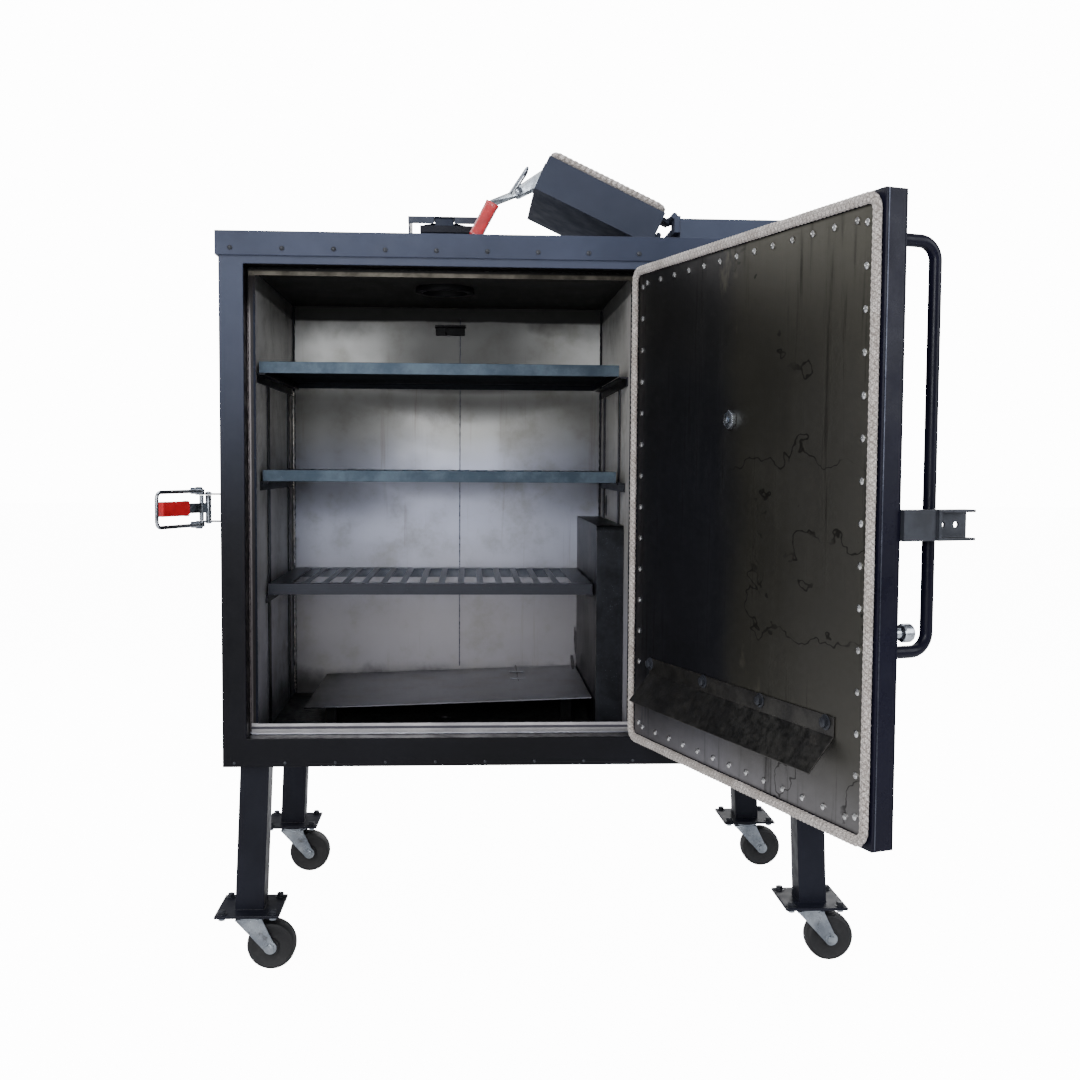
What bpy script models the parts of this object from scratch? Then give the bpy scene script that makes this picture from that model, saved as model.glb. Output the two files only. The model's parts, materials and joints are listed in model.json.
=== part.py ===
"""Insulated gravity-fed cabinet smoker: cooking chamber on the left, charcoal chute and firebox on the right.

Metres, +Z up, +X to the right, +Y to the back. The design is drawn with the front face of the cabinet
at Y = 0 and the floor at Z = 0, and the root empty then moves it so that its box stands on the origin.
"""

import math

import bmesh
import bpy
from mathutils import Matrix, Vector

# ---------------------------------------------------------------- driving dimensions
GAP = 0.0003  # clearance between solids that touch
SKIN = 0.002  # thickness of the outer sheets
LINER = 0.002  # thickness of the stainless inner sheets

LEFT, RIGHT = -0.4975, 0.7775  # cabinet sides
DEPTH = 0.745  # cabinet, front to back
BASE, TOP = 0.442, 1.517  # underside and roof
CAP_DROP = 0.048  # height of the roof cap's skirt
CAP_OUT = 0.006  # how far the skirt stands out from the panels
ROOF_SHEET = 0.003

FRAME_DEPTH = 0.042
OPENING_LEFT, OPENING_RIGHT = -0.449, 0.347
OPENING_LOW, OPENING_HIGH = 0.5003, 1.4536
LIP_LEFT, LIP_RIGHT = -0.4325, 0.3305  # inner edge of the stainless seal flange
LIP_LOW, LIP_HIGH = 0.5225, 1.437
LIP_THICK = 0.002

CHAMBER_LEFT, CHAMBER_RIGHT = -0.4365, 0.331
CHAMBER_LOW, CHAMBER_HIGH = 0.484, 1.444
CHAMBER_BACK = 0.607
CHAMBER_FRONT = FRAME_DEPTH + LIP_THICK + 2 * GAP

DRAIN = (-0.0530, 0.300)

DOOR_GAP = 0.004
DOOR_FRONT = -0.0085  # outer face of the closed door
DOOR_THICK = 0.037
DOOR_LEFT, DOOR_RIGHT = OPENING_LEFT + DOOR_GAP, OPENING_RIGHT - DOOR_GAP
DOOR_LOW, DOOR_HIGH = OPENING_LOW + DOOR_GAP, OPENING_HIGH - DOOR_GAP
DOOR_BACK = DOOR_FRONT + DOOR_THICK
DOOR_HINGE = Vector((0.362, -0.0125, 0))
DOOR_REST = math.radians(108.5)
DOOR_HINGE_HEIGHTS = (0.68, 1.27)
PANEL_THICK = 0.002
GASKET_THICK, GASKET_WIDE = 0.0125, 0.017

RACK_LEFT = -0.4305
RACK_LIP = 0.0235
RACK_SHEET = 0.002
RACKS = (  # name, right end, front, back, underside of the lip
    ("rack_upper", 0.311, 0.070, 0.580, 1.2430),
    ("rack_middle", 0.311, 0.105, 0.585, 1.0210),
    ("rack_lower", 0.2690, 0.165, 0.590, 0.7770),
)
RACK_SLOTS = 15
LEDGE_WIDE, LEDGE_THICK = 0.018, 0.003

DUCT_LEFT, DUCT_FRONT, DUCT_TOP = 0.2726, 0.120, 0.930

CHUTE_LEFT, CHUTE_RIGHT = 0.442, 0.720
CHUTE_FRONT, CHUTE_BACK = 0.110, 0.428
CHUTE_TOP = 1.578
CHUTE_WALL, CHUTE_RIM = 0.004, 0.020
FIREBOX_LEFT, FIREBOX_RIGHT = 0.425, 0.737
FIREBOX_BACK = 0.500
FIREBOX_LOW, FIREBOX_HIGH = 0.515, 0.950
FIREBOX_WALL = 0.005
FIRE_DOOR_LOW, FIRE_DOOR_HIGH = 0.548, 0.888
FIRE_DOOR_THICK = 0.022
FIRE_DOOR_HINGE = Vector((0.7535, -0.0135, 0))
FIRE_HINGE_HEIGHTS = (FIRE_DOOR_LOW + 0.055, FIRE_DOOR_HIGH - 0.055)

LID_HINGE = Vector((0.430, 0, 1.584))
LID_LEFT, LID_RIGHT, LID_HIGH = 0.450, 0.720, 0.075
LID_LOW = 1.589
LID_FRONT, LID_BACK = 0.105, 0.433
LID_REST = math.radians(-155)
LID_LATCH_Y = 0.165

VENT = Vector((-0.055, 0.255, 0))
VENT_RADIUS, VENT_WALL = 0.054, 0.004
VENT_TOP = 1.577
FLAP_HALF, FLAP_SKIRT = 0.077, 0.038
FLAP_HINGE = Vector((-0.055, 0.1870, 1.5820))
FLAP_REST = math.radians(8)

LEG_SIZE, LEG_WALL = 0.059, 0.003
LEG_TOP_INSET, LEG_FOOT_INSET = 0.0578, 0.0441  # leg centre lines, in from the cabinet's sides
LEG_YS = (0.069, 0.700)
LEG_FOOT = 0.1262
PLATE_SIZE, PLATE_THICK = 0.132, 0.006
WHEEL_RADIUS, WHEEL_WIDE = 0.0508, 0.046
CASTER_TRAIL = 0.042

LATCH_Z, LATCH_Y = 0.9675, 0.045
LATCH_PIVOT_OUT = 0.0325  # door latch's main pin, out from the left panel
HANDLE_S, HANDLE_OUT = 0.040, 0.082  # handle: in from the door's free edge, out from its face
HANDLE_LOW, HANDLE_HIGH, HANDLE_RADIUS = 0.786, 1.387, 0.0095

EXTRA = 0.01  # how far a cutter runs past the surface that it cuts


# ---------------------------------------------------------------- helpers
def clear_scene():
    for thing in list(bpy.data.objects):
        bpy.data.objects.remove(thing, do_unlink=True)


def paint(name, colour, roughness, metallic):
    """A Principled material."""
    result = bpy.data.materials.new(name)
    result.use_nodes = True
    shader = result.node_tree.nodes["Principled BSDF"]
    shader.inputs["Base Color"].default_value = (*colour, 1)
    shader.inputs["Roughness"].default_value = roughness
    shader.inputs["Metallic"].default_value = metallic
    return result


def make_paints():
    return {
        "coat": paint("black_powder_coat", (0.035, 0.038, 0.052), 0.42, 0.0),
        "liner": paint("sooty_steel", (0.32, 0.31, 0.29), 0.45, 1.0),
        "dark": paint("seasoned_liner", (0.06, 0.06, 0.055), 0.38, 1.0),
        "bright": paint("bright_stainless", (0.62, 0.60, 0.58), 0.30, 1.0),
        "rack": paint("blued_steel", (0.16, 0.20, 0.26), 0.35, 1.0),
        "zinc": paint("zinc_plate", (0.62, 0.66, 0.70), 0.30, 1.0),
        "rope": paint("gasket_rope", (0.50, 0.47, 0.43), 0.95, 0.0),
        "wool": paint("mineral_wool", (0.60, 0.55, 0.35), 1.0, 0.0),
        "plate": paint("thick_black_steel", (0.05, 0.05, 0.055), 0.6, 0.6),
        "rubber": paint("black_wheel", (0.02, 0.02, 0.022), 0.6, 0.0),
        "red": paint("red_grip", (0.75, 0.03, 0.04), 0.45, 0.0),
    }


def pivot(name, origin, parent, turn=0.0, axis="Z"):
    """An empty on a joint's axis. What hangs on it is drawn at its closed, world place."""
    empty = bpy.data.objects.new(name, None)
    bpy.context.scene.collection.objects.link(empty)
    empty.empty_display_size = 0.05
    empty.parent = parent
    drawn = Vector(parent["drawn_at"]) if parent else Vector()
    empty.location = Vector(origin) - drawn
    setattr(empty.rotation_euler, axis.lower(), turn)
    empty["drawn_at"] = tuple(origin)
    return empty


def new_object(name, bm, parent, material=None):
    """Turns a bmesh drawn at its closed place into an object that hangs on its pivot."""
    bmesh.ops.translate(bm, verts=bm.verts, vec=-Vector(parent["drawn_at"]))
    bmesh.ops.recalc_face_normals(bm, faces=bm.faces)
    mesh = bpy.data.meshes.new(name)
    bm.to_mesh(mesh)
    bm.free()
    result = bpy.data.objects.new(name, mesh)
    bpy.context.scene.collection.objects.link(result)
    result.parent = parent
    if material:
        mesh.materials.append(material)
        mesh.shade_smooth()
        mesh.set_sharp_from_angle(angle=math.radians(35))
    else:
        result.hide_render = True
        result.display_type = "WIRE"
    return result


def boolean(target, helper, operation):
    modifier = target.modifiers.new(operation.lower(), "BOOLEAN")
    modifier.operation = operation
    modifier.solver = "EXACT"
    modifier.object = helper


def box(bm, low, high):
    low, high = Vector(low), Vector(high)
    found = bmesh.ops.create_cube(bm, size=1)["verts"]
    for vert in found:
        vert.co = Vector(low[i] + (vert.co[i] + 0.5) * (high[i] - low[i]) for i in range(3))


def rod(bm, start, end, radius, sides=16, end_radius=None):
    """A cylinder, or a cone, between two points."""
    start, end = Vector(start), Vector(end)
    place = Matrix.Translation((start + end) / 2) @ (end - start).to_track_quat("Z", "Y").to_matrix().to_4x4()
    bmesh.ops.create_cone(
        bm,
        cap_ends=True,
        segments=sides,
        radius1=radius,
        radius2=radius if end_radius is None else end_radius,
        depth=(end - start).length,
        matrix=place,
    )


def prism(bm, outline, low, high, axis="Y"):
    """Extrudes a closed outline along an axis. The outline's two values are the other two axes, in order."""
    order = {"X": (2, 0, 1), "Y": (0, 2, 1), "Z": (0, 1, 2)}[axis]
    ends = []
    for level in (low, high):
        points = [(a, b, level) for a, b in outline]
        ends.append([bm.verts.new([p[order[i]] for i in range(3)]) for p in points])
    bm.faces.new(ends[0])
    bm.faces.new(ends[1])
    for i in range(len(outline)):
        j = (i + 1) % len(outline)
        bm.faces.new((ends[0][i], ends[0][j], ends[1][j], ends[1][i]))


def bent_rod(bm, points, radius, sides=10):
    """A round bar along a line of points: rings of vertices square to the line, bridged, with capped ends."""
    points = [Vector(p) for p in points]
    rings = []
    for i, point in enumerate(points):
        before, after = points[max(i - 1, 0)], points[min(i + 1, len(points) - 1)]
        turn = (after - before).to_track_quat("Z", "Y").to_matrix()
        if rings:
            # keeps each ring from twisting against the last one
            along = (after - before).normalized()
            side = (last_side - along * last_side.dot(along)).normalized()
        else:
            along = (after - before).normalized()
            side = turn.col[0].normalized()
        last_side = side
        other = along.cross(side)
        ring = []
        for k in range(sides):
            angle = 2 * math.pi * k / sides
            ring.append(bm.verts.new(point + radius * (math.cos(angle) * side + math.sin(angle) * other)))
        rings.append(ring)
    for first, second in zip(rings, rings[1:]):
        for k in range(sides):
            m = (k + 1) % sides
            bm.faces.new((first[k], first[m], second[m], second[k]))
    bm.faces.new(rings[0])
    bm.faces.new(rings[-1])


def corner(centre, first, second, radius, steps=4):
    """Points of a quarter turn: from centre + radius * first round to centre + radius * second."""
    centre, first, second = Vector(centre), Vector(first), Vector(second)
    turns = [math.pi / 2 * i / steps for i in range(steps + 1)]
    return [centre + radius * (math.cos(t) * first + math.sin(t) * second) for t in turns]


def solid(name, parent, material, first, joined=(), cut=()):
    """One node: the shape that `first` draws, with the shapes in `joined` welded on and those in `cut` taken away."""
    bm = bmesh.new()
    first(bm)
    result = new_object(name, bm, parent, material)
    for operation, shapes in (("UNION", joined), ("DIFFERENCE", cut)):
        for number, draw in enumerate(shapes):
            helper = bmesh.new()
            draw(helper)
            tool = new_object(f"{name}_{operation.lower()}_{number}", helper, parent)
            boolean(result, tool, operation)
    return result


def block(low, high):
    return lambda bm: box(bm, low, high)


def bar(start, end, radius, sides=16, end_radius=None):
    return lambda bm: rod(bm, start, end, radius, sides, end_radius)


def several(*shapes):
    """Shapes that don't touch each other, drawn as one helper."""

    def draw(bm):
        for shape in shapes:
            shape(bm)

    return draw


# ---------------------------------------------------------------- cabinet
def build_shell(cabinet, paints):
    coat = paints["coat"]
    under_roof = TOP - ROOF_SHEET - GAP
    solid(
        "front_frame",
        cabinet,
        coat,
        block((LEFT, 0, BASE), (RIGHT, FRAME_DEPTH, under_roof)),
        joined=[
            several(
                *(
                    block(
                        (FIRE_DOOR_HINGE.x - 0.003, FIRE_DOOR_HINGE.y - 0.006, z - 0.006),
                        (FIRE_DOOR_HINGE.x + 0.012, 0.001, z + 0.006),
                    )
                    for z in (FIRE_HINGE_HEIGHTS[0] - 0.024, FIRE_HINGE_HEIGHTS[1] + 0.024)
                )
            )
        ],
        cut=[
            block((OPENING_LEFT, -EXTRA, OPENING_LOW), (OPENING_RIGHT, FRAME_DEPTH + EXTRA, OPENING_HIGH)),
            block(
                (FIREBOX_LEFT + 0.02, -EXTRA, FIRE_DOOR_LOW + 0.018),
                (FIREBOX_RIGHT - 0.02, FRAME_DEPTH + EXTRA, FIRE_DOOR_HIGH - 0.018),
            ),
        ],
    )
    front, back = FRAME_DEPTH + GAP, DEPTH - SKIN - GAP
    floor = BASE + SKIN + GAP
    solid("left_side_panel", cabinet, coat, block((LEFT, front, floor), (LEFT + SKIN, back, under_roof)))
    solid("right_side_panel", cabinet, coat, block((RIGHT - SKIN, front, floor), (RIGHT, back, under_roof)))
    solid("back_panel", cabinet, coat, block((LEFT, back + GAP, floor), (RIGHT, DEPTH, under_roof)))
    solid(
        "bottom_panel",
        cabinet,
        coat,
        block((LEFT, front, BASE), (RIGHT, DEPTH, BASE + SKIN)),
        cut=[bar((*DRAIN, BASE - EXTRA), (*DRAIN, BASE + EXTRA), 0.0135)],
    )
    outline = ((LEFT - CAP_OUT, -CAP_OUT), (RIGHT + CAP_OUT, -CAP_OUT))
    outline += ((RIGHT + CAP_OUT, DEPTH + CAP_OUT), (LEFT - CAP_OUT, DEPTH + CAP_OUT))
    solid(
        "roof_cap",
        cabinet,
        coat,
        lambda bm: prism(bm, outline, TOP - CAP_DROP, TOP, "Z"),
        cut=[
            block(
                (LEFT - GAP, -GAP, TOP - CAP_DROP - EXTRA),
                (RIGHT + GAP, DEPTH + GAP, TOP - ROOF_SHEET),
            ),
            bar(VENT + Vector((0, 0, 1.45)), VENT + Vector((0, 0, 1.6)), VENT_RADIUS + GAP, 32),
            block(
                (CHUTE_LEFT - GAP, CHUTE_FRONT - GAP, 1.45),
                (CHUTE_RIGHT + GAP, CHUTE_BACK + GAP, 1.6),
            ),
        ],
    )


def build_liner(cabinet, paints):
    steel = paints["liner"]
    left, right = CHAMBER_LEFT - LINER, CHAMBER_RIGHT + LINER
    low, high = CHAMBER_LOW - LINER, CHAMBER_HIGH + LINER
    front, back = CHAMBER_FRONT, CHAMBER_BACK
    solid("liner_left_wall", cabinet, steel, block((left, front, low), (CHAMBER_LEFT, back, high)))
    flue = block((0.30, 0.22, 0.600), (0.36, 0.42, 0.740))
    solid(
        "liner_right_wall",
        cabinet,
        steel,
        block((CHAMBER_RIGHT, front, low), (right, back, high)),
        cut=[flue],
    )
    solid(
        "liner_back_wall",
        cabinet,
        steel,
        block((left, back + GAP, low), (right, back + GAP + LINER, high)),
    )
    solid(
        "liner_ceiling",
        cabinet,
        steel,
        block((left, front, high + GAP), (right, back + GAP + LINER, high + GAP + LINER)),
        cut=[bar(VENT + Vector((0, 0, 1.40)), VENT + Vector((0, 0, 1.48)), VENT_RADIUS + GAP, 32)],
    )
    solid(
        "liner_floor",
        cabinet,
        steel,
        block((left, front, low - GAP - LINER), (right, back + GAP + LINER, low - GAP)),
        joined=[bar((*DRAIN, 0.428), (*DRAIN, low - GAP - LINER / 2), 0.013)],
        cut=[bar((*DRAIN, 0.42), (*DRAIN, 0.50), 0.0105)],
    )
    behind = 0.012  # how far the flange reaches behind the front frame
    solid(
        "seal_flange",
        cabinet,
        paints["bright"],
        block(
            (OPENING_LEFT - behind, FRAME_DEPTH + GAP, OPENING_LOW - behind),
            (OPENING_RIGHT + behind, FRAME_DEPTH + GAP + LIP_THICK, OPENING_HIGH + behind),
        ),
        cut=[block((LIP_LEFT, 0, LIP_LOW), (LIP_RIGHT, 0.1, LIP_HIGH))],
    )
    around = 3 * GAP + LINER  # the wool stays just clear of the sheets that it lies against
    room = 2 * GAP
    solid(
        "insulation_jacket",
        cabinet,
        paints["wool"],
        block(
            (LEFT + SKIN + GAP, CHAMBER_FRONT, BASE + SKIN + 2 * GAP),
            (RIGHT - SKIN - GAP, DEPTH - SKIN - 2 * GAP, TOP - ROOF_SHEET - 2 * GAP),
        ),
        cut=[
            block(
                (CHAMBER_LEFT - around, 0, low - LINER - 2 * GAP),
                (CHAMBER_RIGHT + around, CHAMBER_BACK + around, high + LINER + 2 * GAP),
            ),
            block(
                (FIREBOX_LEFT - room, 0, FIREBOX_LOW - room),
                (FIREBOX_RIGHT + room, FIREBOX_BACK + room, FIREBOX_HIGH + room),
            ),
            block(
                (CHUTE_LEFT - room, CHUTE_FRONT - room, FIREBOX_HIGH - EXTRA),
                (CHUTE_RIGHT + room, CHUTE_BACK + room, TOP + EXTRA),
            ),
            block((0.30, 0.22, 0.600), (0.45, 0.42, 0.740)),
            bar(VENT + Vector((0, 0, 1.42)), VENT + Vector((0, 0, 1.6)), VENT_RADIUS + room, 32),
            bar((*DRAIN, 0.43), (*DRAIN, 0.50), 0.0135),
        ],
    )


# ---------------------------------------------------------------- inside the chamber
def build_ladder(name, cabinet, paints, side, wall, low, racks):
    """The rails of one side: an angle under each rack, held by two flat uprights on the wall."""
    inner = wall + side * LEDGE_WIDE
    near, far = wall + side * GAP, wall + side * (GAP + LEDGE_THICK)
    high = max(rack[4] for rack in racks) - GAP

    def spread(a, b):
        return (min(a, b), max(a, b))

    ledges, skirts = [], []
    for _, _, front, back, under in racks:
        x = spread(near, inner)
        top = under - GAP
        ledges.append(block((x[0], front + 0.004, top - LEDGE_THICK), (x[1], back, top)))
        x = spread(near, far)
        skirts.append(block((x[0], front + 0.004, top - 0.019), (x[1], back, top)))
    x = spread(near, far)
    uprights = several(
        block((x[0], 0.200, low), (x[1], 0.225, high)),
        block((x[0], 0.500, low), (x[1], 0.525, high)),
    )
    solid(name, cabinet, paints["dark"], ledges[0], joined=[*ledges[1:], *skirts, uprights])


def build_racks(root, cabinet, paints):
    build_ladder("rack_rails_left", cabinet, paints, 1, CHAMBER_LEFT, CHAMBER_LOW + GAP, RACKS)
    build_ladder("rack_rails_right", cabinet, paints, -1, CHAMBER_RIGHT, DUCT_TOP + GAP, RACKS[:2])
    for name, right, front, back, under in RACKS:
        axis = pivot(name + "_slide", (RACK_LEFT, front, under), root)
        top = under + RACK_LIP
        border = 0.035
        pitch = (right - RACK_LEFT - 2 * border) / RACK_SLOTS
        slots = []
        for number in range(RACK_SLOTS):
            start = RACK_LEFT + border + (number + 0.17) * pitch
            slots.append(block((start, front + 0.03, under), (start + 0.66 * pitch, back - 0.03, top + EXTRA)))
        solid(
            name,
            axis,
            paints["rack"],
            block((RACK_LEFT, front, under), (right, back, top)),
            cut=[
                block(
                    (RACK_LEFT + RACK_SHEET, front + RACK_SHEET, under - EXTRA),
                    (right - RACK_SHEET, back - RACK_SHEET, top - RACK_SHEET),
                ),
                several(*slots),
            ],
        )


def build_chamber_fittings(cabinet, paints):
    rail = RACKS[2]
    top = rail[4] - GAP
    floor = CHAMBER_LOW - LINER
    wall, back = CHAMBER_RIGHT - GAP, CHAMBER_BACK - GAP
    nose = 0.016  # radius of the duct's front top edge
    outline = [(DUCT_FRONT, floor + GAP), (back, floor + GAP), (back, DUCT_TOP)]
    for step in range(5):
        turn = math.pi / 2 * (1 + step / 4)
        outline.append((DUCT_FRONT + nose * (1 + math.cos(turn)), DUCT_TOP - nose * (1 - math.sin(turn))))
    sheet = 0.003
    solid(
        "heat_duct",
        cabinet,
        paints["dark"],
        lambda bm: prism(bm, outline, DUCT_LEFT, wall, "X"),
        joined=[
            block((DUCT_LEFT - LEDGE_WIDE, rail[2] + 0.004, top - LEDGE_THICK), (DUCT_LEFT + 0.001, rail[3], top)),
        ],
        cut=[
            block(
                (DUCT_LEFT + sheet, DUCT_FRONT + sheet, floor - EXTRA),
                (wall + EXTRA, back - sheet, DUCT_TOP - nose),
            ),
            block((DUCT_LEFT - EXTRA, 0.30, floor - EXTRA), (DUCT_LEFT + EXTRA, 0.50, floor + 0.040)),
        ],
    )
    tilt = math.radians(1.9)
    left, right = -0.356, DUCT_LEFT - 0.004
    near, far = 0.168, 0.604
    rise = (right - left) * math.tan(tilt)
    low = 0.528
    thick = 0.0025
    sheet_outline = ((left, low), (right, low + rise), (right, low + rise + thick), (left, low + thick))
    stands = [(x, y) for x in (left + 0.05, right - 0.05) for y in (near + 0.09, far - 0.06)]
    solid(
        "drip_plate",
        cabinet,
        paints["dark"],
        lambda bm: prism(bm, sheet_outline, near, far, "Y"),
        joined=[
            several(
                *(
                    block((x - 0.012, y - 0.012, floor + GAP), (x + 0.012, y + 0.012, low + (x - left) * math.tan(tilt)))
                    for x, y in stands
                )
            )
        ],
    )


# ---------------------------------------------------------------- fire side
def build_fire_side(root, cabinet, paints):
    plate = paints["plate"]
    front = CHAMBER_FRONT
    wall = FIREBOX_WALL
    solid(
        "firebox",
        cabinet,
        plate,
        block((FIREBOX_LEFT, front, FIREBOX_LOW), (FIREBOX_RIGHT, FIREBOX_BACK, FIREBOX_HIGH)),
        joined=[block((CHAMBER_RIGHT + LINER + GAP, 0.225, 0.605), (FIREBOX_LEFT + 0.001, 0.415, 0.735))],
        cut=[
            block(
                (FIREBOX_LEFT + wall, 0, FIREBOX_LOW + wall),
                (FIREBOX_RIGHT - wall, FIREBOX_BACK - wall, FIREBOX_HIGH - wall),
            ),
            block(
                (CHUTE_LEFT + CHUTE_WALL, CHUTE_FRONT + CHUTE_WALL, FIREBOX_HIGH - 0.02),
                (CHUTE_RIGHT - CHUTE_WALL, CHUTE_BACK - CHUTE_WALL, FIREBOX_HIGH + EXTRA),
            ),
            block((0.32, 0.230, 0.610), (FIREBOX_LEFT + EXTRA, 0.410, 0.730)),
        ],
    )
    rim_low = CHUTE_TOP - CHUTE_WALL
    knuckles = [(0.112, 0.160), (0.380, 0.426)]
    solid(
        "charcoal_chute",
        cabinet,
        paints["coat"],
        block((CHUTE_LEFT, CHUTE_FRONT, FIREBOX_HIGH + GAP), (CHUTE_RIGHT, CHUTE_BACK, CHUTE_TOP)),
        joined=[
            *(block((LID_HINGE.x, a, LID_HINGE.z - 0.035), (CHUTE_LEFT + 0.001, b, LID_HINGE.z)) for a, b in knuckles),
            *(bar((LID_HINGE.x, a, LID_HINGE.z), (LID_HINGE.x, b, LID_HINGE.z), 0.0065, 16) for a, b in knuckles),
            block((CHUTE_RIGHT - 0.001, LID_LATCH_Y - 0.025, 1.545), (CHUTE_RIGHT + 0.022, LID_LATCH_Y + 0.025, 1.552)),
        ],
        cut=[
            block(
                (CHUTE_LEFT + CHUTE_WALL, CHUTE_FRONT + CHUTE_WALL, FIREBOX_HIGH - EXTRA),
                (CHUTE_RIGHT - CHUTE_WALL, CHUTE_BACK - CHUTE_WALL, rim_low),
            ),
            block(
                (CHUTE_LEFT + CHUTE_RIM, CHUTE_FRONT + CHUTE_RIM, rim_low - EXTRA),
                (CHUTE_RIGHT - CHUTE_RIM, CHUTE_BACK - CHUTE_RIM, CHUTE_TOP + EXTRA),
            ),
        ],
    )
    inner = (FIREBOX_LEFT + wall + 0.003, FIREBOX_RIGHT - wall - 0.003)
    grate_low = 0.640
    bars = 9
    pitch = (inner[1] - inner[0] - 0.03) / bars
    slots = [
        block((inner[0] + 0.02 + k * pitch, 0.10, grate_low - EXTRA), (inner[0] + 0.02 + (k + 0.55) * pitch, 0.44, 0.66))
        for k in range(bars)
    ]
    solid(
        "fire_grate",
        cabinet,
        plate,
        block((inner[0], 0.070, grate_low), (inner[1], FIREBOX_BACK - wall - 0.003, grate_low + 0.010)),
        joined=[
            several(
                *(
                    block((x, y, FIREBOX_LOW + wall + GAP), (x + 0.012, y + 0.012, grate_low + 0.001))
                    for x in (inner[0], inner[1] - 0.012)
                    for y in (0.075, FIREBOX_BACK - wall - 0.016)
                )
            )
        ],
        cut=[several(*slots)],
    )
    pan = (inner[0] + 0.016, inner[1] - 0.016)
    pan_low = FIREBOX_LOW + wall + GAP
    solid(
        "ash_pan",
        cabinet,
        plate,
        block((pan[0], 0.080, pan_low), (pan[1], 0.460, pan_low + 0.055)),
        cut=[block((pan[0] + 0.002, 0.082, pan_low + 0.002), (pan[1] - 0.002, 0.458, pan_low + 0.10))],
    )
    build_fire_door(root, cabinet, paints)


def build_fire_door(root, cabinet, paints):
    """A flat cast door over the lower right column, hinged at the right, with a spinner for the draught."""
    hinge = FIRE_DOOR_HINGE
    axis = pivot("fire_door_hinge", hinge, root)
    left, right = FIREBOX_LEFT, FIREBOX_RIGHT
    face, back = -FIRE_DOOR_THICK - 2 * GAP, -2 * GAP
    middle = ((left + right) / 2, (FIRE_DOOR_LOW + FIRE_DOOR_HIGH) / 2 - 0.05)
    heights = FIRE_HINGE_HEIGHTS
    grip_z = FIRE_DOOR_HIGH - 0.070
    hole = 0.010
    ring = 0.030
    vents = [
        bar(
            (middle[0] + ring * math.cos(a), face - EXTRA, middle[1] + ring * math.sin(a)),
            (middle[0] + ring * math.cos(a), back + EXTRA, middle[1] + ring * math.sin(a)),
            hole,
            12,
        )
        for a in (0, 2 * math.pi / 3, 4 * math.pi / 3)
    ]
    solid(
        "firebox_door",
        axis,
        paints["coat"],
        block((left, face, FIRE_DOOR_LOW), (right, back, FIRE_DOOR_HIGH)),
        joined=[
            *(block((right - 0.03, face - 0.003, z - 0.017), (hinge.x, face + 0.004, z + 0.017)) for z in heights),
            *(bar((hinge.x, hinge.y, z - 0.017), (hinge.x, hinge.y, z + 0.017), 0.009) for z in heights),
            block((hinge.x - 0.004, face - 0.003, heights[0] - 0.017), (hinge.x + 0.002, hinge.y, heights[0] + 0.017)),
            block((hinge.x - 0.004, face - 0.003, heights[1] - 0.017), (hinge.x + 0.002, hinge.y, heights[1] + 0.017)),
            block((left + 0.018, face - 0.016, grip_z - 0.010), (left + 0.034, face + 0.001, grip_z + 0.010)),
            bar((left + 0.026, face - 0.016, grip_z - 0.060), (left + 0.026, face - 0.016, grip_z + 0.010), 0.007, 12),
        ],
        cut=[several(*vents)],
    )
    spinner = pivot("draught_spinner_axis", (middle[0], face, middle[1]), axis)
    solid(
        "draught_spinner",
        spinner,
        paints["zinc"],
        bar((middle[0], face - 0.0035, middle[1]), (middle[0], face - GAP, middle[1]), 0.045, 32),
        joined=[bar((middle[0], face - 0.014, middle[1]), (middle[0], face - 0.003, middle[1]), 0.008, 16)],
        cut=[
            several(
                *(
                    bar(
                        (middle[0] + ring * math.cos(a), face - 0.02, middle[1] + ring * math.sin(a)),
                        (middle[0] + ring * math.cos(a), face + 0.02, middle[1] + ring * math.sin(a)),
                        hole,
                        12,
                    )
                    for a in (0, 2 * math.pi / 3, 4 * math.pi / 3)
                )
            )
        ],
    )


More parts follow.
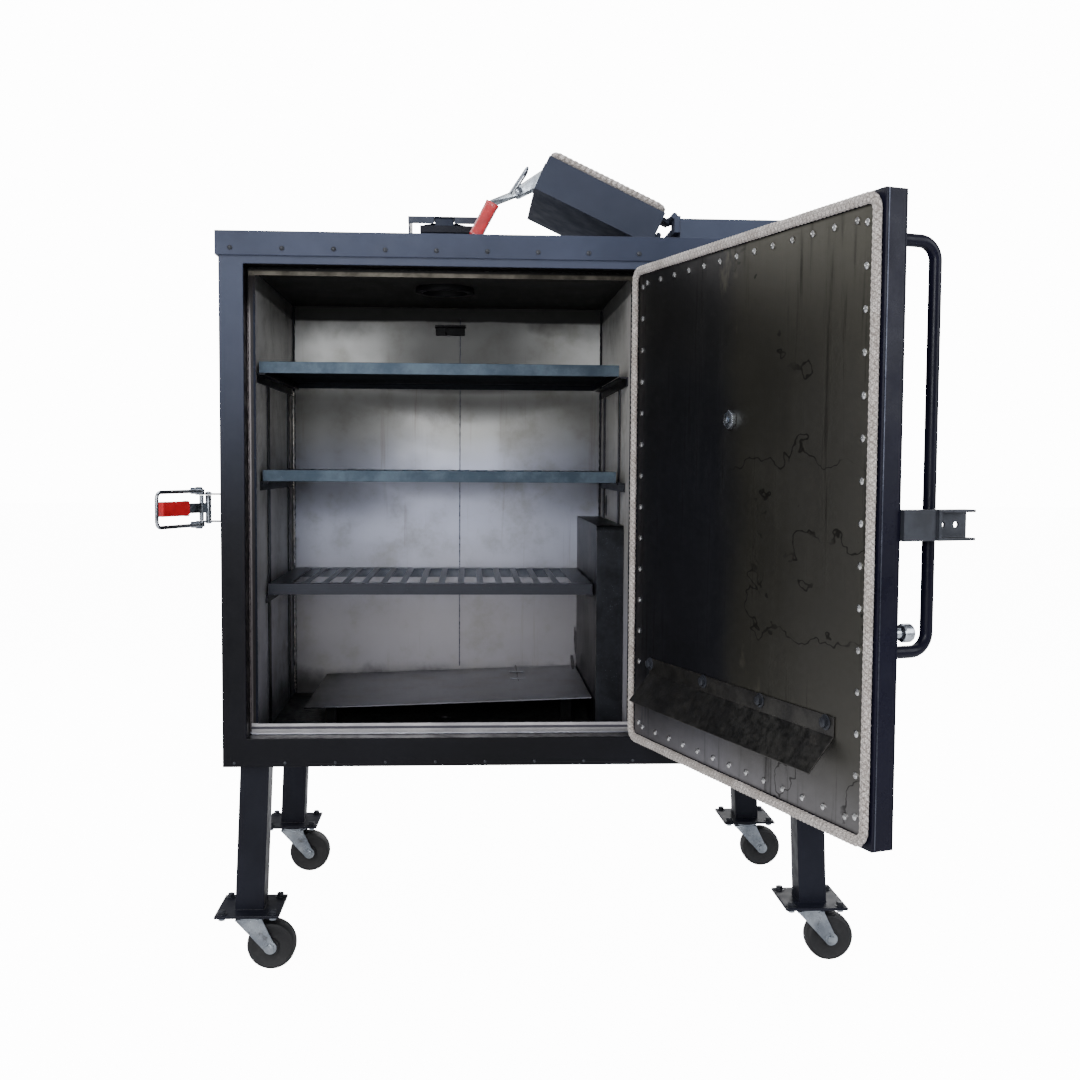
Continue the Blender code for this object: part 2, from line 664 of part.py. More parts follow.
def build_exhaust(root, cabinet, paints):
    """A round stack with a flap that is hinged along its front edge and stands a little open."""
    coat = paints["coat"]
    foot = CHAMBER_HIGH - 0.010
    outer, inner = VENT_RADIUS, VENT_RADIUS - VENT_WALL
    hinge = FLAP_HINGE
    pin = 0.004
    tab = 0.020
    solid(
        "exhaust_pipe",
        cabinet,
        coat,
        bar(VENT + Vector((0, 0, foot)), VENT + Vector((0, 0, VENT_TOP)), outer, 32),
        joined=[
            bar(VENT + Vector((0, 0, foot)), VENT + Vector((0, 0, CHAMBER_HIGH + LINER)), 0.064, 32),
            block((hinge.x - tab, hinge.y - pin, hinge.z - 0.025), (hinge.x + tab, VENT.y - inner, hinge.z - 0.010)),
            block((hinge.x - tab, hinge.y - pin, hinge.z - 0.011), (hinge.x + tab, hinge.y, hinge.z)),
            bar((hinge.x - tab, hinge.y, hinge.z), (hinge.x + tab, hinge.y, hinge.z), pin, 12),
        ],
        cut=[bar(VENT + Vector((0, 0, 1.40)), VENT + Vector((0, 0, 1.62)), inner, 32)],
    )
    axis = pivot("exhaust_flap_hinge", hinge, root, FLAP_REST, "X")
    left, right = VENT.x - FLAP_HALF, VENT.x + FLAP_HALF
    front, back = hinge.y + 0.0050, VENT.y + FLAP_HALF
    top, sheet = hinge.z + pin, 0.003
    wing = 0.030
    solid(
        "exhaust_flap",
        axis,
        coat,
        block((left, front, top - FLAP_SKIRT), (right, back, top)),
        joined=[
            several(
                *(
                    bar((x, hinge.y, hinge.z), (x + wing, hinge.y, hinge.z), pin, 12)
                    for x in (hinge.x - tab - wing - GAP, hinge.x + tab + GAP)
                )
            ),
            several(
                *(
                    block((x, hinge.y, hinge.z + 0.0012), (x + wing, front + 0.002, top))
                    for x in (hinge.x - tab - wing - GAP, hinge.x + tab + GAP)
                )
            ),
        ],
        cut=[block((left + sheet, front - EXTRA, top - 0.1), (right - sheet, back + EXTRA, top - sheet))],
    )


# ---------------------------------------------------------------- chute lid and its latch
def ring_of(low, high, wide):
    """A flat rectangular ring, as the block and the cutter that make it."""
    inner = ((low[0] + wide, low[1] + wide, low[2] - EXTRA), (high[0] - wide, high[1] - wide, high[2] + EXTRA))
    return block(low, high), block(*inner)


def build_lid(root, paints):
    hinge = LID_HINGE
    axis = pivot("chute_lid_hinge", hinge, root, LID_REST, "Y")
    coat = paints["coat"]
    top = LID_LOW + LID_HIGH
    knuckles = [(0.1605, 0.2045), (0.3355, 0.3795)]
    solid(
        "chute_lid",
        axis,
        coat,
        block((LID_LEFT, LID_FRONT, LID_LOW), (LID_RIGHT, LID_BACK, top)),
        joined=[
            *(block((hinge.x, a, hinge.z + 0.001), (LID_LEFT + 0.001, b, hinge.z + 0.010)) for a, b in knuckles),
            *(bar((hinge.x, a, hinge.z), (hinge.x, b, hinge.z), 0.0065, 16) for a, b in knuckles),
        ],
        cut=[
            block(
                (LID_LEFT + 0.018, LID_FRONT + 0.018, LID_LOW - EXTRA),
                (LID_RIGHT - 0.018, LID_BACK - 0.018, LID_LOW + 0.025),
            )
        ],
    )
    gasket, hollow = ring_of(
        (LID_LEFT + 0.002, LID_FRONT + 0.008, CHUTE_TOP + GAP), (LID_RIGHT - 0.002, LID_BACK - 0.008, LID_LOW - GAP), 0.015
    )
    solid("chute_lid_gasket", axis, paints["rope"], gasket, cut=[hollow])
    build_lid_latch(axis, paints)


def build_lid_latch(lid_axis, paints):
    """A pull latch on the lid's free end: a bracket, a lever with a dipped grip and a hook."""
    zinc = paints["zinc"]
    y = LID_LATCH_Y
    face = LID_RIGHT + GAP
    pin = Vector((face + 0.029, y, LID_LOW + 0.0866))
    shape = [(face, LID_LOW + 0.020), (face, LID_LOW + 0.064), (pin.x - 0.006, pin.z + 0.007)]
    shape += [(pin.x + 0.007, pin.z + 0.003), (pin.x + 0.006, pin.z - 0.008)]
    arms = several(
        lambda bm: prism(bm, shape, y - 0.021, y - 0.018, "Y"),
        lambda bm: prism(bm, shape, y + 0.018, y + 0.021, "Y"),
    )
    solid(
        "chute_latch_bracket",
        lid_axis,
        zinc,
        block((face, y - 0.024, LID_LOW + 0.010), (face + 0.003, y + 0.024, LID_LOW + 0.068)),
        joined=[arms],
    )
    lever_axis = pivot("chute_latch_lever_axis", pin, lid_axis)
    reach = Vector((0.680, 0, 0.733)).normalized()
    elbow = pin + 0.058 * reach
    bend = Vector((0.05, 0, 0.999)).normalized()
    grip = elbow + 0.006 * bend
    tip = elbow + 0.080 * bend

    def strap(a, b, wide, half):
        """A flat bar in the XZ plane from a to b, `wide` across and 2 * half thick along Y."""
        along = (b - a).normalized()
        side = Vector((along.z, 0, -along.x)) * wide / 2
        outline = [(p.x, p.z) for p in (a + side, b + side, b - side, a - side)]
        return lambda bm: prism(bm, outline, y - half, y + half, "Y")

    solid(
        "chute_latch_lever",
        lever_axis,
        zinc,
        bar(pin - Vector((0, 0.0172, 0)), pin + Vector((0, 0.0172, 0)), 0.006, 16),
        joined=[
            strap(pin, elbow + 0.004 * reach, 0.014, 0.006),
            strap(elbow, grip + 0.002 * bend, 0.016, 0.006),
            strap(grip, tip, 0.026, 0.009),
        ],
    )
    hook_pin = pin + 0.020 * reach
    hook_axis = pivot("chute_latch_hook_axis", hook_pin, lever_axis)
    half, rod_radius = 0.0275, 0.003
    out = Vector((-0.15, 0, -0.989)).normalized()
    away = hook_pin + 0.068 * out
    side = Vector((0, 1, 0))
    route = [hook_pin - half * side, away - half * side - 0.010 * out]
    route += corner(away - (half - 0.010) * side - 0.010 * out, -side, out, 0.010)[1:]
    route += corner(away + (half - 0.010) * side - 0.010 * out, out, side, 0.010)
    route += [hook_pin + half * side]
    solid("chute_latch_hook", hook_axis, zinc, lambda bm: bent_rod(bm, route, rod_radius, 8))


# ---------------------------------------------------------------- chamber door
def build_door(root, cabinet, paints):
    axis = pivot("door_hinge_axis", DOOR_HINGE, root, DOOR_REST)
    coat = paints["coat"]
    sheet = 0.002
    lip = 0.030  # return flange that carries the inner panel
    left, right, low, high = DOOR_LEFT, DOOR_RIGHT, DOOR_LOW, DOOR_HIGH
    hinge = DOOR_HINGE
    leaf_left = hinge.x - 0.060
    reach = 0.045
    third = 2 * reach / 3
    leaves = [
        several(
            *(
                block((leaf_left, DOOR_FRONT - 0.004, z - reach), (hinge.x, DOOR_FRONT + 0.001, z - reach + third - GAP))
                for z in DOOR_HINGE_HEIGHTS
            ),
            *(
                block((leaf_left, DOOR_FRONT - 0.004, z + reach - third + GAP), (hinge.x, DOOR_FRONT + 0.001, z + reach))
                for z in DOOR_HINGE_HEIGHTS
            ),
        ),
        several(
            *(
                bar((hinge.x, hinge.y, z + a), (hinge.x, hinge.y, z + b), 0.0075, 16)
                for z in DOOR_HINGE_HEIGHTS
                for a, b in ((-reach, -reach + third - GAP), (reach - third + GAP, reach))
            )
        ),
    ]
    port = Vector((left + 0.406, 0, 1.138))
    solid(
        "door_pan",
        axis,
        coat,
        block((left, DOOR_FRONT, low), (right, DOOR_BACK, high)),
        joined=leaves,
        cut=[
            block((left + sheet, DOOR_FRONT + sheet, low + sheet), (right - sheet, DOOR_BACK - sheet, high - sheet)),
            block((left + lip, DOOR_BACK - 0.01, low + lip), (right - lip, DOOR_BACK + EXTRA, high - lip)),
            bar((port.x, DOOR_FRONT - EXTRA, port.z), (port.x, DOOR_FRONT + EXTRA, port.z), 0.0103, 16),
        ],
    )
    solid(
        "door_insulation",
        axis,
        paints["wool"],
        block(
            (left + lip + GAP, DOOR_FRONT + sheet + GAP, low + lip + GAP),
            (right - lip - GAP, DOOR_BACK - GAP, high - lip - GAP),
        ),
        cut=[bar((port.x, DOOR_FRONT - EXTRA, port.z), (port.x, DOOR_BACK + EXTRA, port.z), 0.0103, 16)],
    )
    panel_front, panel_back = DOOR_BACK + GAP, DOOR_BACK + GAP + PANEL_THICK
    rope = 0.002 + GASKET_WIDE
    solid(
        "door_inner_panel",
        axis,
        paints["dark"],
        block((left + rope + GAP, panel_front, low + rope + GAP), (right - rope - GAP, panel_back, high - rope - GAP)),
        cut=[bar((port.x, 0, port.z), (port.x, 0.1, port.z), 0.0103, 16)],
    )
    gasket, hollow = (
        block((left + 0.002, panel_front, low + 0.002), (right - 0.002, panel_front + GASKET_THICK, high - 0.002)),
        block((left + rope, 0, low + rope), (right - rope, 0.1, high - rope)),
    )
    solid("door_gasket", axis, paints["rope"], gasket, cut=[hollow])
    solid(
        "probe_port",
        axis,
        paints["zinc"],
        bar((port.x, DOOR_FRONT - 0.003, port.z), (port.x, panel_back + 0.003, port.z), 0.010, 16),
        joined=[
            bar((port.x, panel_back + GAP, port.z), (port.x, panel_back + 0.008, port.z), 0.0165, 6),
            bar((port.x, DOOR_FRONT - 0.008, port.z), (port.x, DOOR_FRONT - GAP, port.z), 0.0165, 6),
        ],
        cut=[bar((port.x, -0.1, port.z), (port.x, 0.1, port.z), 0.006, 16)],
    )
    build_drip_lip(axis, paints, panel_back)
    build_door_outside(axis, paints)
    for number, z in enumerate(DOOR_HINGE_HEIGHTS):
        solid(
            f"door_hinge_frame_{('low', 'high')[number]}",
            cabinet,
            coat,
            bar((hinge.x, hinge.y, z - third / 2), (hinge.x, hinge.y, z + third / 2), 0.0075, 16),
            joined=[
                block((hinge.x, -0.0055, z - third / 2), (hinge.x + 0.050, -GAP, z + third / 2)),
                block((hinge.x, hinge.y, z - third / 2), (hinge.x + 0.0072, -0.002, z + third / 2)),
            ],
        )


def build_drip_lip(axis, paints, panel):
    """The bent strip low on the inner panel that throws drips back into the chamber."""
    start, end = DOOR_LEFT + 0.0913, DOOR_LEFT + 0.7025
    low, high, out = 0.602, 0.684, 0.045
    thick = 0.002
    near = panel + GAP
    fold = high - 0.030
    outline = [
        (near, fold),
        (near, high),
        (near + thick, high),
        (near + thick, fold + 0.0006),
        (near + out, low + 0.0012),
        (near + out, low),
        (near + out - thick, low),
    ]
    solid("door_drip_lip", axis, paints["dark"], lambda bm: prism(bm, outline, start, end, "X"))


def build_door_outside(axis, paints):
    face = DOOR_FRONT - GAP
    x = DOOR_LEFT + HANDLE_S
    out, bend = face - HANDLE_OUT, 0.028
    away, up = Vector((0, -1, 0)), Vector((0, 0, 1))
    route = [Vector((x, face, HANDLE_HIGH)), Vector((x, out + bend, HANDLE_HIGH))]
    route += corner((x, out + bend, HANDLE_HIGH - bend), up, away, bend)[1:]
    route += corner((x, out + bend, HANDLE_LOW + bend), away, -up, bend)
    route += [Vector((x, face, HANDLE_LOW))]
    solid("door_handle", axis, paints["coat"], lambda bm: bent_rod(bm, route, HANDLE_RADIUS, 12))
    z, half = 0.9755, 0.0225
    near, stub, far = DOOR_LEFT - 0.012, 0.060, 0.124
    sheet = 0.004
    deep = 0.026
    solid(
        "door_strike",
        axis,
        paints["plate"],
        block((near + 0.004, face - stub, z - half), (near + deep, face, z + half)),
        joined=[block((near, face - far, z - half), (near + deep - 0.002, face - stub + 0.002, z + half))],
        cut=[
            block((near - EXTRA, face - far - EXTRA, z - half + sheet), (near + deep - 0.006, face - stub - sheet, z + half - sheet)),
            several(
                *(
                    bar((near - EXTRA, face - d, z), (near + deep + EXTRA, face - d, z), 0.0045, 12)
                    for d in (stub + 0.020, stub + 0.045)
                )
            ),
        ],
    )
    dial_z = 0.818
    dial_x = DOOR_LEFT + 0.018
    solid(
        "side_dial",
        axis,
        paints["bright"],
        bar((dial_x, face, dial_z), (dial_x, face - 0.032, dial_z), 0.006, 12),
        joined=[bar((dial_x, face - 0.020, dial_z), (dial_x, face - 0.036, dial_z), 0.0140, 24)],
    )


def build_door_latch(root, cabinet, paints):
    """A pull latch on the left panel: bracket, lever with a dipped grip, and a long bent hook."""
    zinc = paints["zinc"]
    z, y = LATCH_Z, LATCH_Y
    wall = LEFT - GAP
    pin = Vector((LEFT - LATCH_PIVOT_OUT, y, z))
    half = 0.0255
    solid(
        "door_latch_bracket",
        cabinet,
        zinc,
        block((wall - 0.003, y - 0.012, z - 0.037), (wall, y + 0.075, z + 0.037)),
        joined=[
            several(
                *(
                    block((pin.x - 0.0075, y - 0.008, z + k), (wall - 0.002, y + 0.008, z + k + 0.0035))
                    for k in (half + 0.0005, -half - 0.004)
                )
            )
        ],
    )
    forward = Vector((-math.cos(math.radians(60)), -math.sin(math.radians(60)), 0))
    lever_axis = pivot("door_latch_lever_axis", pin, root)
    side = Vector((-forward.y, forward.x, 0))

    def strap(a, b, wide, half_high):
        """A flat bar lying along `forward` from distance a to b, `wide` thick and 2 * half_high tall."""
        corners = [pin + a * forward + wide / 2 * side, pin + b * forward + wide / 2 * side]
        corners += [pin + b * forward - wide / 2 * side, pin + a * forward - wide / 2 * side]
        return lambda bm: prism(bm, [(p.x, p.y) for p in corners], z - half_high, z + half_high, "Z")

    hook_pin = pin + 0.020 * forward
    solid(
        "door_latch_lever",
        lever_axis,
        zinc,
        bar((pin.x, pin.y, z - half), (pin.x, pin.y, z + half), 0.006, 16),
        joined=[
            strap(0.002, 0.072, 0.006, 0.010),
            bar((hook_pin.x, hook_pin.y, z - half), (hook_pin.x, hook_pin.y, z + half), 0.0045, 16),
            strap(0.070, 0.128, 0.014, 0.013),
        ],
    )
    hook_axis = pivot("door_latch_hook_axis", hook_pin, lever_axis)
    toward = Vector((-math.cos(math.radians(69)), -math.sin(math.radians(69)), 0))
    up = Vector((0, 0, 1))
    tall, radius, bend = 0.0340, 0.0037, 0.012
    end = hook_pin + 0.152 * toward
    route = [hook_pin + 0.002 * toward + tall * up, end - bend * toward + tall * up]
    route += corner(end - bend * toward + (tall - bend) * up, up, toward, bend)[1:]
    route += corner(end - bend * toward - (tall - bend) * up, toward, -up, bend)
    route += [hook_pin + 0.002 * toward - tall * up]
    solid(
        "door_latch_hook",
        hook_axis,
        zinc,
        lambda bm: bent_rod(bm, route, radius, 8),
        joined=[
            several(
                bar(hook_pin + (half + 0.0005) * up, hook_pin + (half + 0.0123) * up, 0.0060, 12),
                bar(hook_pin - (half + 0.0123) * up, hook_pin - (half + 0.0005) * up, 0.0060, 12),
            )
        ],
    )


# ---------------------------------------------------------------- legs and casters
def build_leg(name, cabinet, paints, foot, top):
    """A square tube that leans outward, welded to a plate."""

    def tube(size, low, high):
        def draw(bm):
            rings = []
            for centre, z in ((foot, low), (top, high)):
                span = BASE - GAP - LEG_FOOT
                share = (z - LEG_FOOT) / span
                x = foot[0] + (top[0] - foot[0]) * share
                y = foot[1] + (top[1] - foot[1]) * share
                ring = [(x + sx * size / 2, y + sy * size / 2, z) for sx, sy in ((-1, -1), (1, -1), (1, 1), (-1, 1))]
                rings.append([bm.verts.new(p) for p in ring])
            bm.faces.new(rings[0])
            bm.faces.new(rings[1])
            for i in range(4):
                j = (i + 1) % 4
                bm.faces.new((rings[0][i], rings[0][j], rings[1][j], rings[1][i]))

        return draw

    half = PLATE_SIZE / 2
    solid(
        name,
        cabinet,
        paints["coat"],
        tube(LEG_SIZE, LEG_FOOT + 0.001, BASE - GAP),
        joined=[
            block((foot[0] - half, foot[1] - half, LEG_FOOT), (foot[0] + half, foot[1] + half, LEG_FOOT + PLATE_THICK))
        ],
        cut=[tube(LEG_SIZE - 2 * LEG_WALL, LEG_FOOT + PLATE_THICK + 0.001, BASE + 0.02)],
    )


def build_caster(name, root, paints, foot):
    """A swivel fork under the plate and a wheel that trails to the right of the swivel."""
    x, y = foot
    swivel = pivot(f"{name}_swivel", (x, y, 0), root)
    top = LEG_FOOT - GAP
    half = WHEEL_WIDE / 2 + 0.002
    sheet = 0.004
    axle = Vector((x + CASTER_TRAIL, y, WHEEL_RADIUS))
    crown_low = 0.1075
    cheek = [(x - 0.030, crown_low + 0.002), (x + 0.026, crown_low + 0.002)]
    for step in range(7):
        turn = math.radians(60 - 35 * step)
        cheek.append((axle.x + 0.0135 * math.cos(turn), axle.z + 0.0135 * math.sin(turn)))
    solid(
        f"{name}_fork",
        swivel,
        paints["zinc"],
        bar((x, y, crown_low), (x, y, top - 0.0065), 0.031, 24, 0.026),
        joined=[
            bar((x, y, top - 0.0075), (x, y, top), 0.024, 24),
            block((x - 0.030, y - half - sheet, crown_low), (x + 0.026, y + half + sheet, crown_low + sheet)),
            several(
                *(
                    (lambda bm, a=a: prism(bm, cheek, a, a + sheet, "Y"))
                    for a in (y - half - sheet, y + half)
                )
            ),
            bar(axle - Vector((0, half + sheet + 0.005, 0)), axle + Vector((0, half + sheet + 0.005, 0)), 0.0055, 12),
        ],
    )
    roll = pivot(f"{name}_axle", axle, swivel)
    wide = WHEEL_WIDE / 2
    solid(
        f"{name}_wheel",
        roll,
        paints["rubber"],
        bar(axle - Vector((0, wide - 0.006, 0)), axle + Vector((0, wide - 0.006, 0)), WHEEL_RADIUS, 28),
        joined=[
            bar(axle - Vector((0, wide, 0)), axle - Vector((0, wide - 0.007, 0)), WHEEL_RADIUS - 0.006, 28),
            bar(axle + Vector((0, wide - 0.007, 0)), axle + Vector((0, wide, 0)), WHEEL_RADIUS - 0.006, 28),
        ],
        cut=[
            bar(axle - Vector((0, 0.1, 0)), axle + Vector((0, 0.1, 0)), 0.0060, 12),
            several(
                bar(axle - Vector((0, wide + EXTRA, 0)), axle - Vector((0, wide - 0.004, 0)), WHEEL_RADIUS - 0.014, 20),
                bar(axle + Vector((0, wide - 0.004, 0)), axle + Vector((0, wide + EXTRA, 0)), WHEEL_RADIUS - 0.014, 20),
            ),
        ],
    )


def build_stand(root, cabinet, paints):
    for side, edge, sign in (("left", LEFT, 1), ("right", RIGHT, -1)):
        for end, y in zip(("front", "back"), LEG_YS):
            foot = (edge + sign * LEG_FOOT_INSET, y)
            top = (edge + sign * LEG_TOP_INSET, y)
            build_leg(f"leg_{end}_{side}", cabinet, paints, foot, top)
            build_caster(f"caster_{end}_{side}", root, paints, foot)


# ---------------------------------------------------------------- the whole
def stand_on_origin(root):
    """Moves the root so that the box round every node has its bottom centre at the origin."""
    bpy.context.view_layer.update()
    graph = bpy.context.evaluated_depsgraph_get()
    points = []
    for thing in bpy.data.objects:
        if thing.type == "MESH" and not thing.hide_render:
            ready = thing.evaluated_get(graph)
            points += [ready.matrix_world @ Vector(c) for c in ready.bound_box]
    low = [min(p[i] for p in points) for i in range(3)]
    high = [max(p[i] for p in points) for i in range(3)]
    root.location = (-(low[0] + high[0]) / 2, -(low[1] + high[1]) / 2, -low[2])


def main():
    clear_scene()
    paints = make_paints()
    root = pivot("smoker", (0, 0, 0), None)
    cabinet = pivot("cabinet", (0, 0, 0), root)
    build_shell(cabinet, paints)
    build_liner(cabinet, paints)
    build_racks(root, cabinet, paints)
    build_chamber_fittings(cabinet, paints)
    build_fire_side(root, cabinet, paints)
    build_exhaust(root, cabinet, paints)
    build_lid(root, paints)
    build_door(root, cabinet, paints)
    build_door_latch(root, cabinet, paints)
    build_stand(root, cabinet, paints)
    stand_on_origin(root)


main()
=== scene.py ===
"""Looks of an insulated, gravity-fed cabinet smoker: finishes, fasteners, rope seals, weld beads and
the small hardware that the solid model leaves out. Metres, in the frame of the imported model."""

import json
import math
import random

import bpy
import numpy as np
from mathutils import Matrix, Vector

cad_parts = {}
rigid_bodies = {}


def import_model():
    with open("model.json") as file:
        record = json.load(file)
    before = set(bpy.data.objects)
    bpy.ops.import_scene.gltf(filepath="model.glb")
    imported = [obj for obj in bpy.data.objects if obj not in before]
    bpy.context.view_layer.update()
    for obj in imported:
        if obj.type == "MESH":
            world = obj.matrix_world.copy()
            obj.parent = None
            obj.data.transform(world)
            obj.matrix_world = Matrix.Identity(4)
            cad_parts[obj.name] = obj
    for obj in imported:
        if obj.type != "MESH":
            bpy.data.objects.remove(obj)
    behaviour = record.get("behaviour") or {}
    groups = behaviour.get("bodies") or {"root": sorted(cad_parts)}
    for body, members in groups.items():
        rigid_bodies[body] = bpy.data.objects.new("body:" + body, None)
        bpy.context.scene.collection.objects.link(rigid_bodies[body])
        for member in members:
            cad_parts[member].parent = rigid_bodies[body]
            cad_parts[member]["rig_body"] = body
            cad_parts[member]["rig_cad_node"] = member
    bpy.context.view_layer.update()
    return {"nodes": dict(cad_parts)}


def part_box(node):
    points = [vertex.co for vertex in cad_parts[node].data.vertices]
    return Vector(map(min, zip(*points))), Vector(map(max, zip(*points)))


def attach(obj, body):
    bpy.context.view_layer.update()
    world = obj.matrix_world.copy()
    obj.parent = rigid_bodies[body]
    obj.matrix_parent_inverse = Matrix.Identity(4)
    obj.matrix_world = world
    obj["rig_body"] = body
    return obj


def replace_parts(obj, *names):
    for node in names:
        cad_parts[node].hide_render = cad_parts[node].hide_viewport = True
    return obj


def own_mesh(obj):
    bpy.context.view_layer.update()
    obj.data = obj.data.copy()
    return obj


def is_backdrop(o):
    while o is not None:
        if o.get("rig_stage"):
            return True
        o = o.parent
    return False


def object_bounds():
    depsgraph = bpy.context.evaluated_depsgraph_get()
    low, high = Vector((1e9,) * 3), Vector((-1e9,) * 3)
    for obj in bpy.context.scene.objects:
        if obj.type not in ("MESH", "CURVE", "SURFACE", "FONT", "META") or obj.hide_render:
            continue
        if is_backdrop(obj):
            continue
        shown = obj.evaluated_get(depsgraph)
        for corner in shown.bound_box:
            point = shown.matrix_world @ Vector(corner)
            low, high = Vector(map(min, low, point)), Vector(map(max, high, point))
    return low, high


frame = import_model()
nodes = frame["nodes"]
draw = random.Random(11)

# The cabinet's left front corner at floor level and the hinges: places below are measured from them.
EDGE_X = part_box("left_side_panel")[0].x
FACE_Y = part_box("roof_cap")[0].y + 0.006
DOOR_HINGE = Vector((EDGE_X + 0.8595, FACE_Y - 0.0125, 0))
DOOR_TURN = math.radians(108.5)
DOOR_LEFT = EDGE_X + 0.0525
SHUT_FACE = FACE_Y - 0.0085
CENTRE_X = 0.4975  # from the left side to the middle of the drawing


def at(x, y, z):
    """A place measured from the drawing's middle, the cabinet's face and the floor, in the frame."""
    return Vector((EDGE_X + CENTRE_X + x, FACE_Y + y, z))


LID_HINGE = at(0.430, 0, 1.584)
LID_TURN = math.radians(-155)
FLAP_HINGE = at(-0.055, 0.1870, 1.5820)
FLAP_TURN = math.radians(8)
ROPE_STEP = 0.0025  # spacing of the points along a rope


# ------------------------------------------------------------------ shop tools
def deselect():
    bpy.ops.object.select_all(action="DESELECT")


def only(piece):
    deselect()
    piece.select_set(True)
    bpy.context.view_layer.objects.active = piece


def settle(piece):
    only(piece)
    bpy.ops.object.transform_apply(location=True, rotation=True, scale=True)


def edit(piece, choose=None):
    """Opens the piece with only the chosen faces selected."""
    only(piece)
    bpy.ops.object.mode_set(mode="EDIT")
    bpy.ops.mesh.select_mode(type="FACE")
    bpy.ops.mesh.select_all(action="DESELECT")
    bpy.ops.object.mode_set(mode="OBJECT")
    if choose:
        for face in piece.data.polygons:
            face.select = choose(face)
    bpy.ops.object.mode_set(mode="EDIT")


def done():
    bpy.ops.object.mode_set(mode="OBJECT")


def modify(piece, kind, **values):
    only(piece)
    modifier = piece.modifiers.new(kind.title(), kind)
    for name, value in values.items():
        setattr(modifier, name, value)
    bpy.ops.object.modifier_apply(modifier=modifier.name)


def soften(piece, width=0.0008, steps=2, angle=35):
    modify(piece, "BEVEL", width=width, segments=steps, limit_method="ANGLE", angle_limit=math.radians(angle))


def smooth(piece, angle=40):
    only(piece)
    bpy.ops.object.shade_smooth_by_angle(angle=math.radians(angle))


def slab(low, high, edge=0.0008):
    """A sheared plate or bar with broken edges."""
    low, high = Vector(low), Vector(high)
    bpy.ops.mesh.primitive_cube_add(size=1, location=(low + high) / 2, scale=high - low)
    piece = bpy.context.object
    settle(piece)
    if edge:
        soften(piece, edge)
    return piece


def facing(direction):
    return Vector(direction).to_track_quat("Z", "Y").to_matrix().to_4x4()


def drum(sides, radius, height, middle=None):
    """An upright cylinder, standing on the origin unless its middle's height is given."""
    place_z = height / 2 if middle is None else middle
    bpy.ops.mesh.primitive_cylinder_add(
        vertices=sides, radius=radius, depth=height, location=(0, 0, place_z)
    )
    piece = bpy.context.object
    settle(piece)
    return piece


def domed_head(width, height, sides=16):
    """A low round head: a disc drawn in and up three times."""
    head = drum(sides, width / 2, height * 0.45)
    edit(head, lambda face: face.normal.z > 0.9)
    for inward, up in ((0.13, 0.26), (0.15, 0.17), (0.12, 0.08)):
        bpy.ops.mesh.inset(thickness=inward * width)
        bpy.ops.transform.translate(value=(0, 0, up * height))
    done()
    smooth(head, 50)
    return head


def hex_bolt(width, height, washer=True):
    """A six-sided head with a chamfered top, on a washer."""
    head = drum(6, width / 2, height)
    edit(head, lambda face: face.normal.z > 0.9)
    bpy.ops.mesh.inset(thickness=width * 0.08)
    bpy.ops.transform.translate(value=(0, 0, height * 0.12))
    done()
    if washer:
        ring = drum(24, width * 0.72, 0.0016, 0.0006)
        soften(ring, 0.0004)
        head = joined([head, ring])
    smooth(head, 35)
    return head


def joined(pieces):
    deselect()
    for piece in pieces:
        piece.select_set(True)
    bpy.context.view_layer.objects.active = pieces[0]
    if len(pieces) > 1:
        bpy.ops.object.join()
    return pieces[0]


def copies(model, places):
    """The model repeated at each (place, direction), each copy with its own mesh."""
    made = []
    for spot, way in places:
        new = model.copy()
        new.data = model.data.copy()
        bpy.context.scene.collection.objects.link(new)
        new.matrix_world = Matrix.Translation(Vector(spot)) @ facing(way)
        made.append(new)
    bpy.data.objects.remove(model)
    whole = joined(made)
    settle(whole)
    return whole


def stand(piece, spot, way):
    """Carries a piece drawn upright at the origin to a place, pointing along way."""
    piece.matrix_world = Matrix.Translation(Vector(spot)) @ facing(way)
    settle(piece)
    return piece


def turned(profile, place, direction, steps):
    """A lathe-turned piece: profile is (radius, height) pairs from one closed end to the other."""
    points = []
    for k in range(steps):
        turn = 2 * math.pi * k / steps
        points += [(r * math.cos(turn), r * math.sin(turn), h) for r, h in profile]
    rows = len(profile)
    faces = []
    for k in range(steps):
        for j in range(rows - 1):
            a, b = k * rows + j, (k + 1) % steps * rows + j
            faces.append((a, b, b + 1, a + 1))
    return from_points(points, faces, Matrix.Translation(Vector(place)) @ facing(direction), merge=0.00001)


def from_points(points, faces, where=None, merge=0.0):
    mesh = bpy.data.meshes.new("made")
    mesh.from_pydata([tuple(p) for p in points], [], faces)
    piece = bpy.data.objects.new("made", mesh)
    bpy.context.scene.collection.objects.link(piece)
    if where is not None:
        piece.matrix_world = where
    settle(piece)
    edit(piece)
    bpy.ops.mesh.select_all(action="SELECT")
    if merge:
        bpy.ops.mesh.remove_doubles(threshold=merge)
    bpy.ops.mesh.normals_make_consistent(inside=False)
    done()
    return piece


def tube_faces(rows, corners, closed=False):
    """The faces of a tube made of rows of points. An open one has its two ends filled."""
    faces = []
    for k in range(rows if closed else rows - 1):
        for c in range(corners):
            a, b, d = k * corners, (k + 1) % rows * corners, (c + 1) % corners
            faces.append((a + c, a + d, b + d, b + c))
    if not closed:
        faces += [tuple(range(corners)), tuple(range((rows - 1) * corners, rows * corners))]
    return faces


def circle(centre, radius, count, second=(0, 1, 0)):
    """Points round a centre, in the plane of the X axis and a second direction."""
    turns = [2 * math.pi * k / count for k in range(count)]
    first, second = Vector((1, 0, 0)), Vector(second)
    return [Vector(centre) + radius * (first * math.cos(turn) + second * math.sin(turn)) for turn in turns]


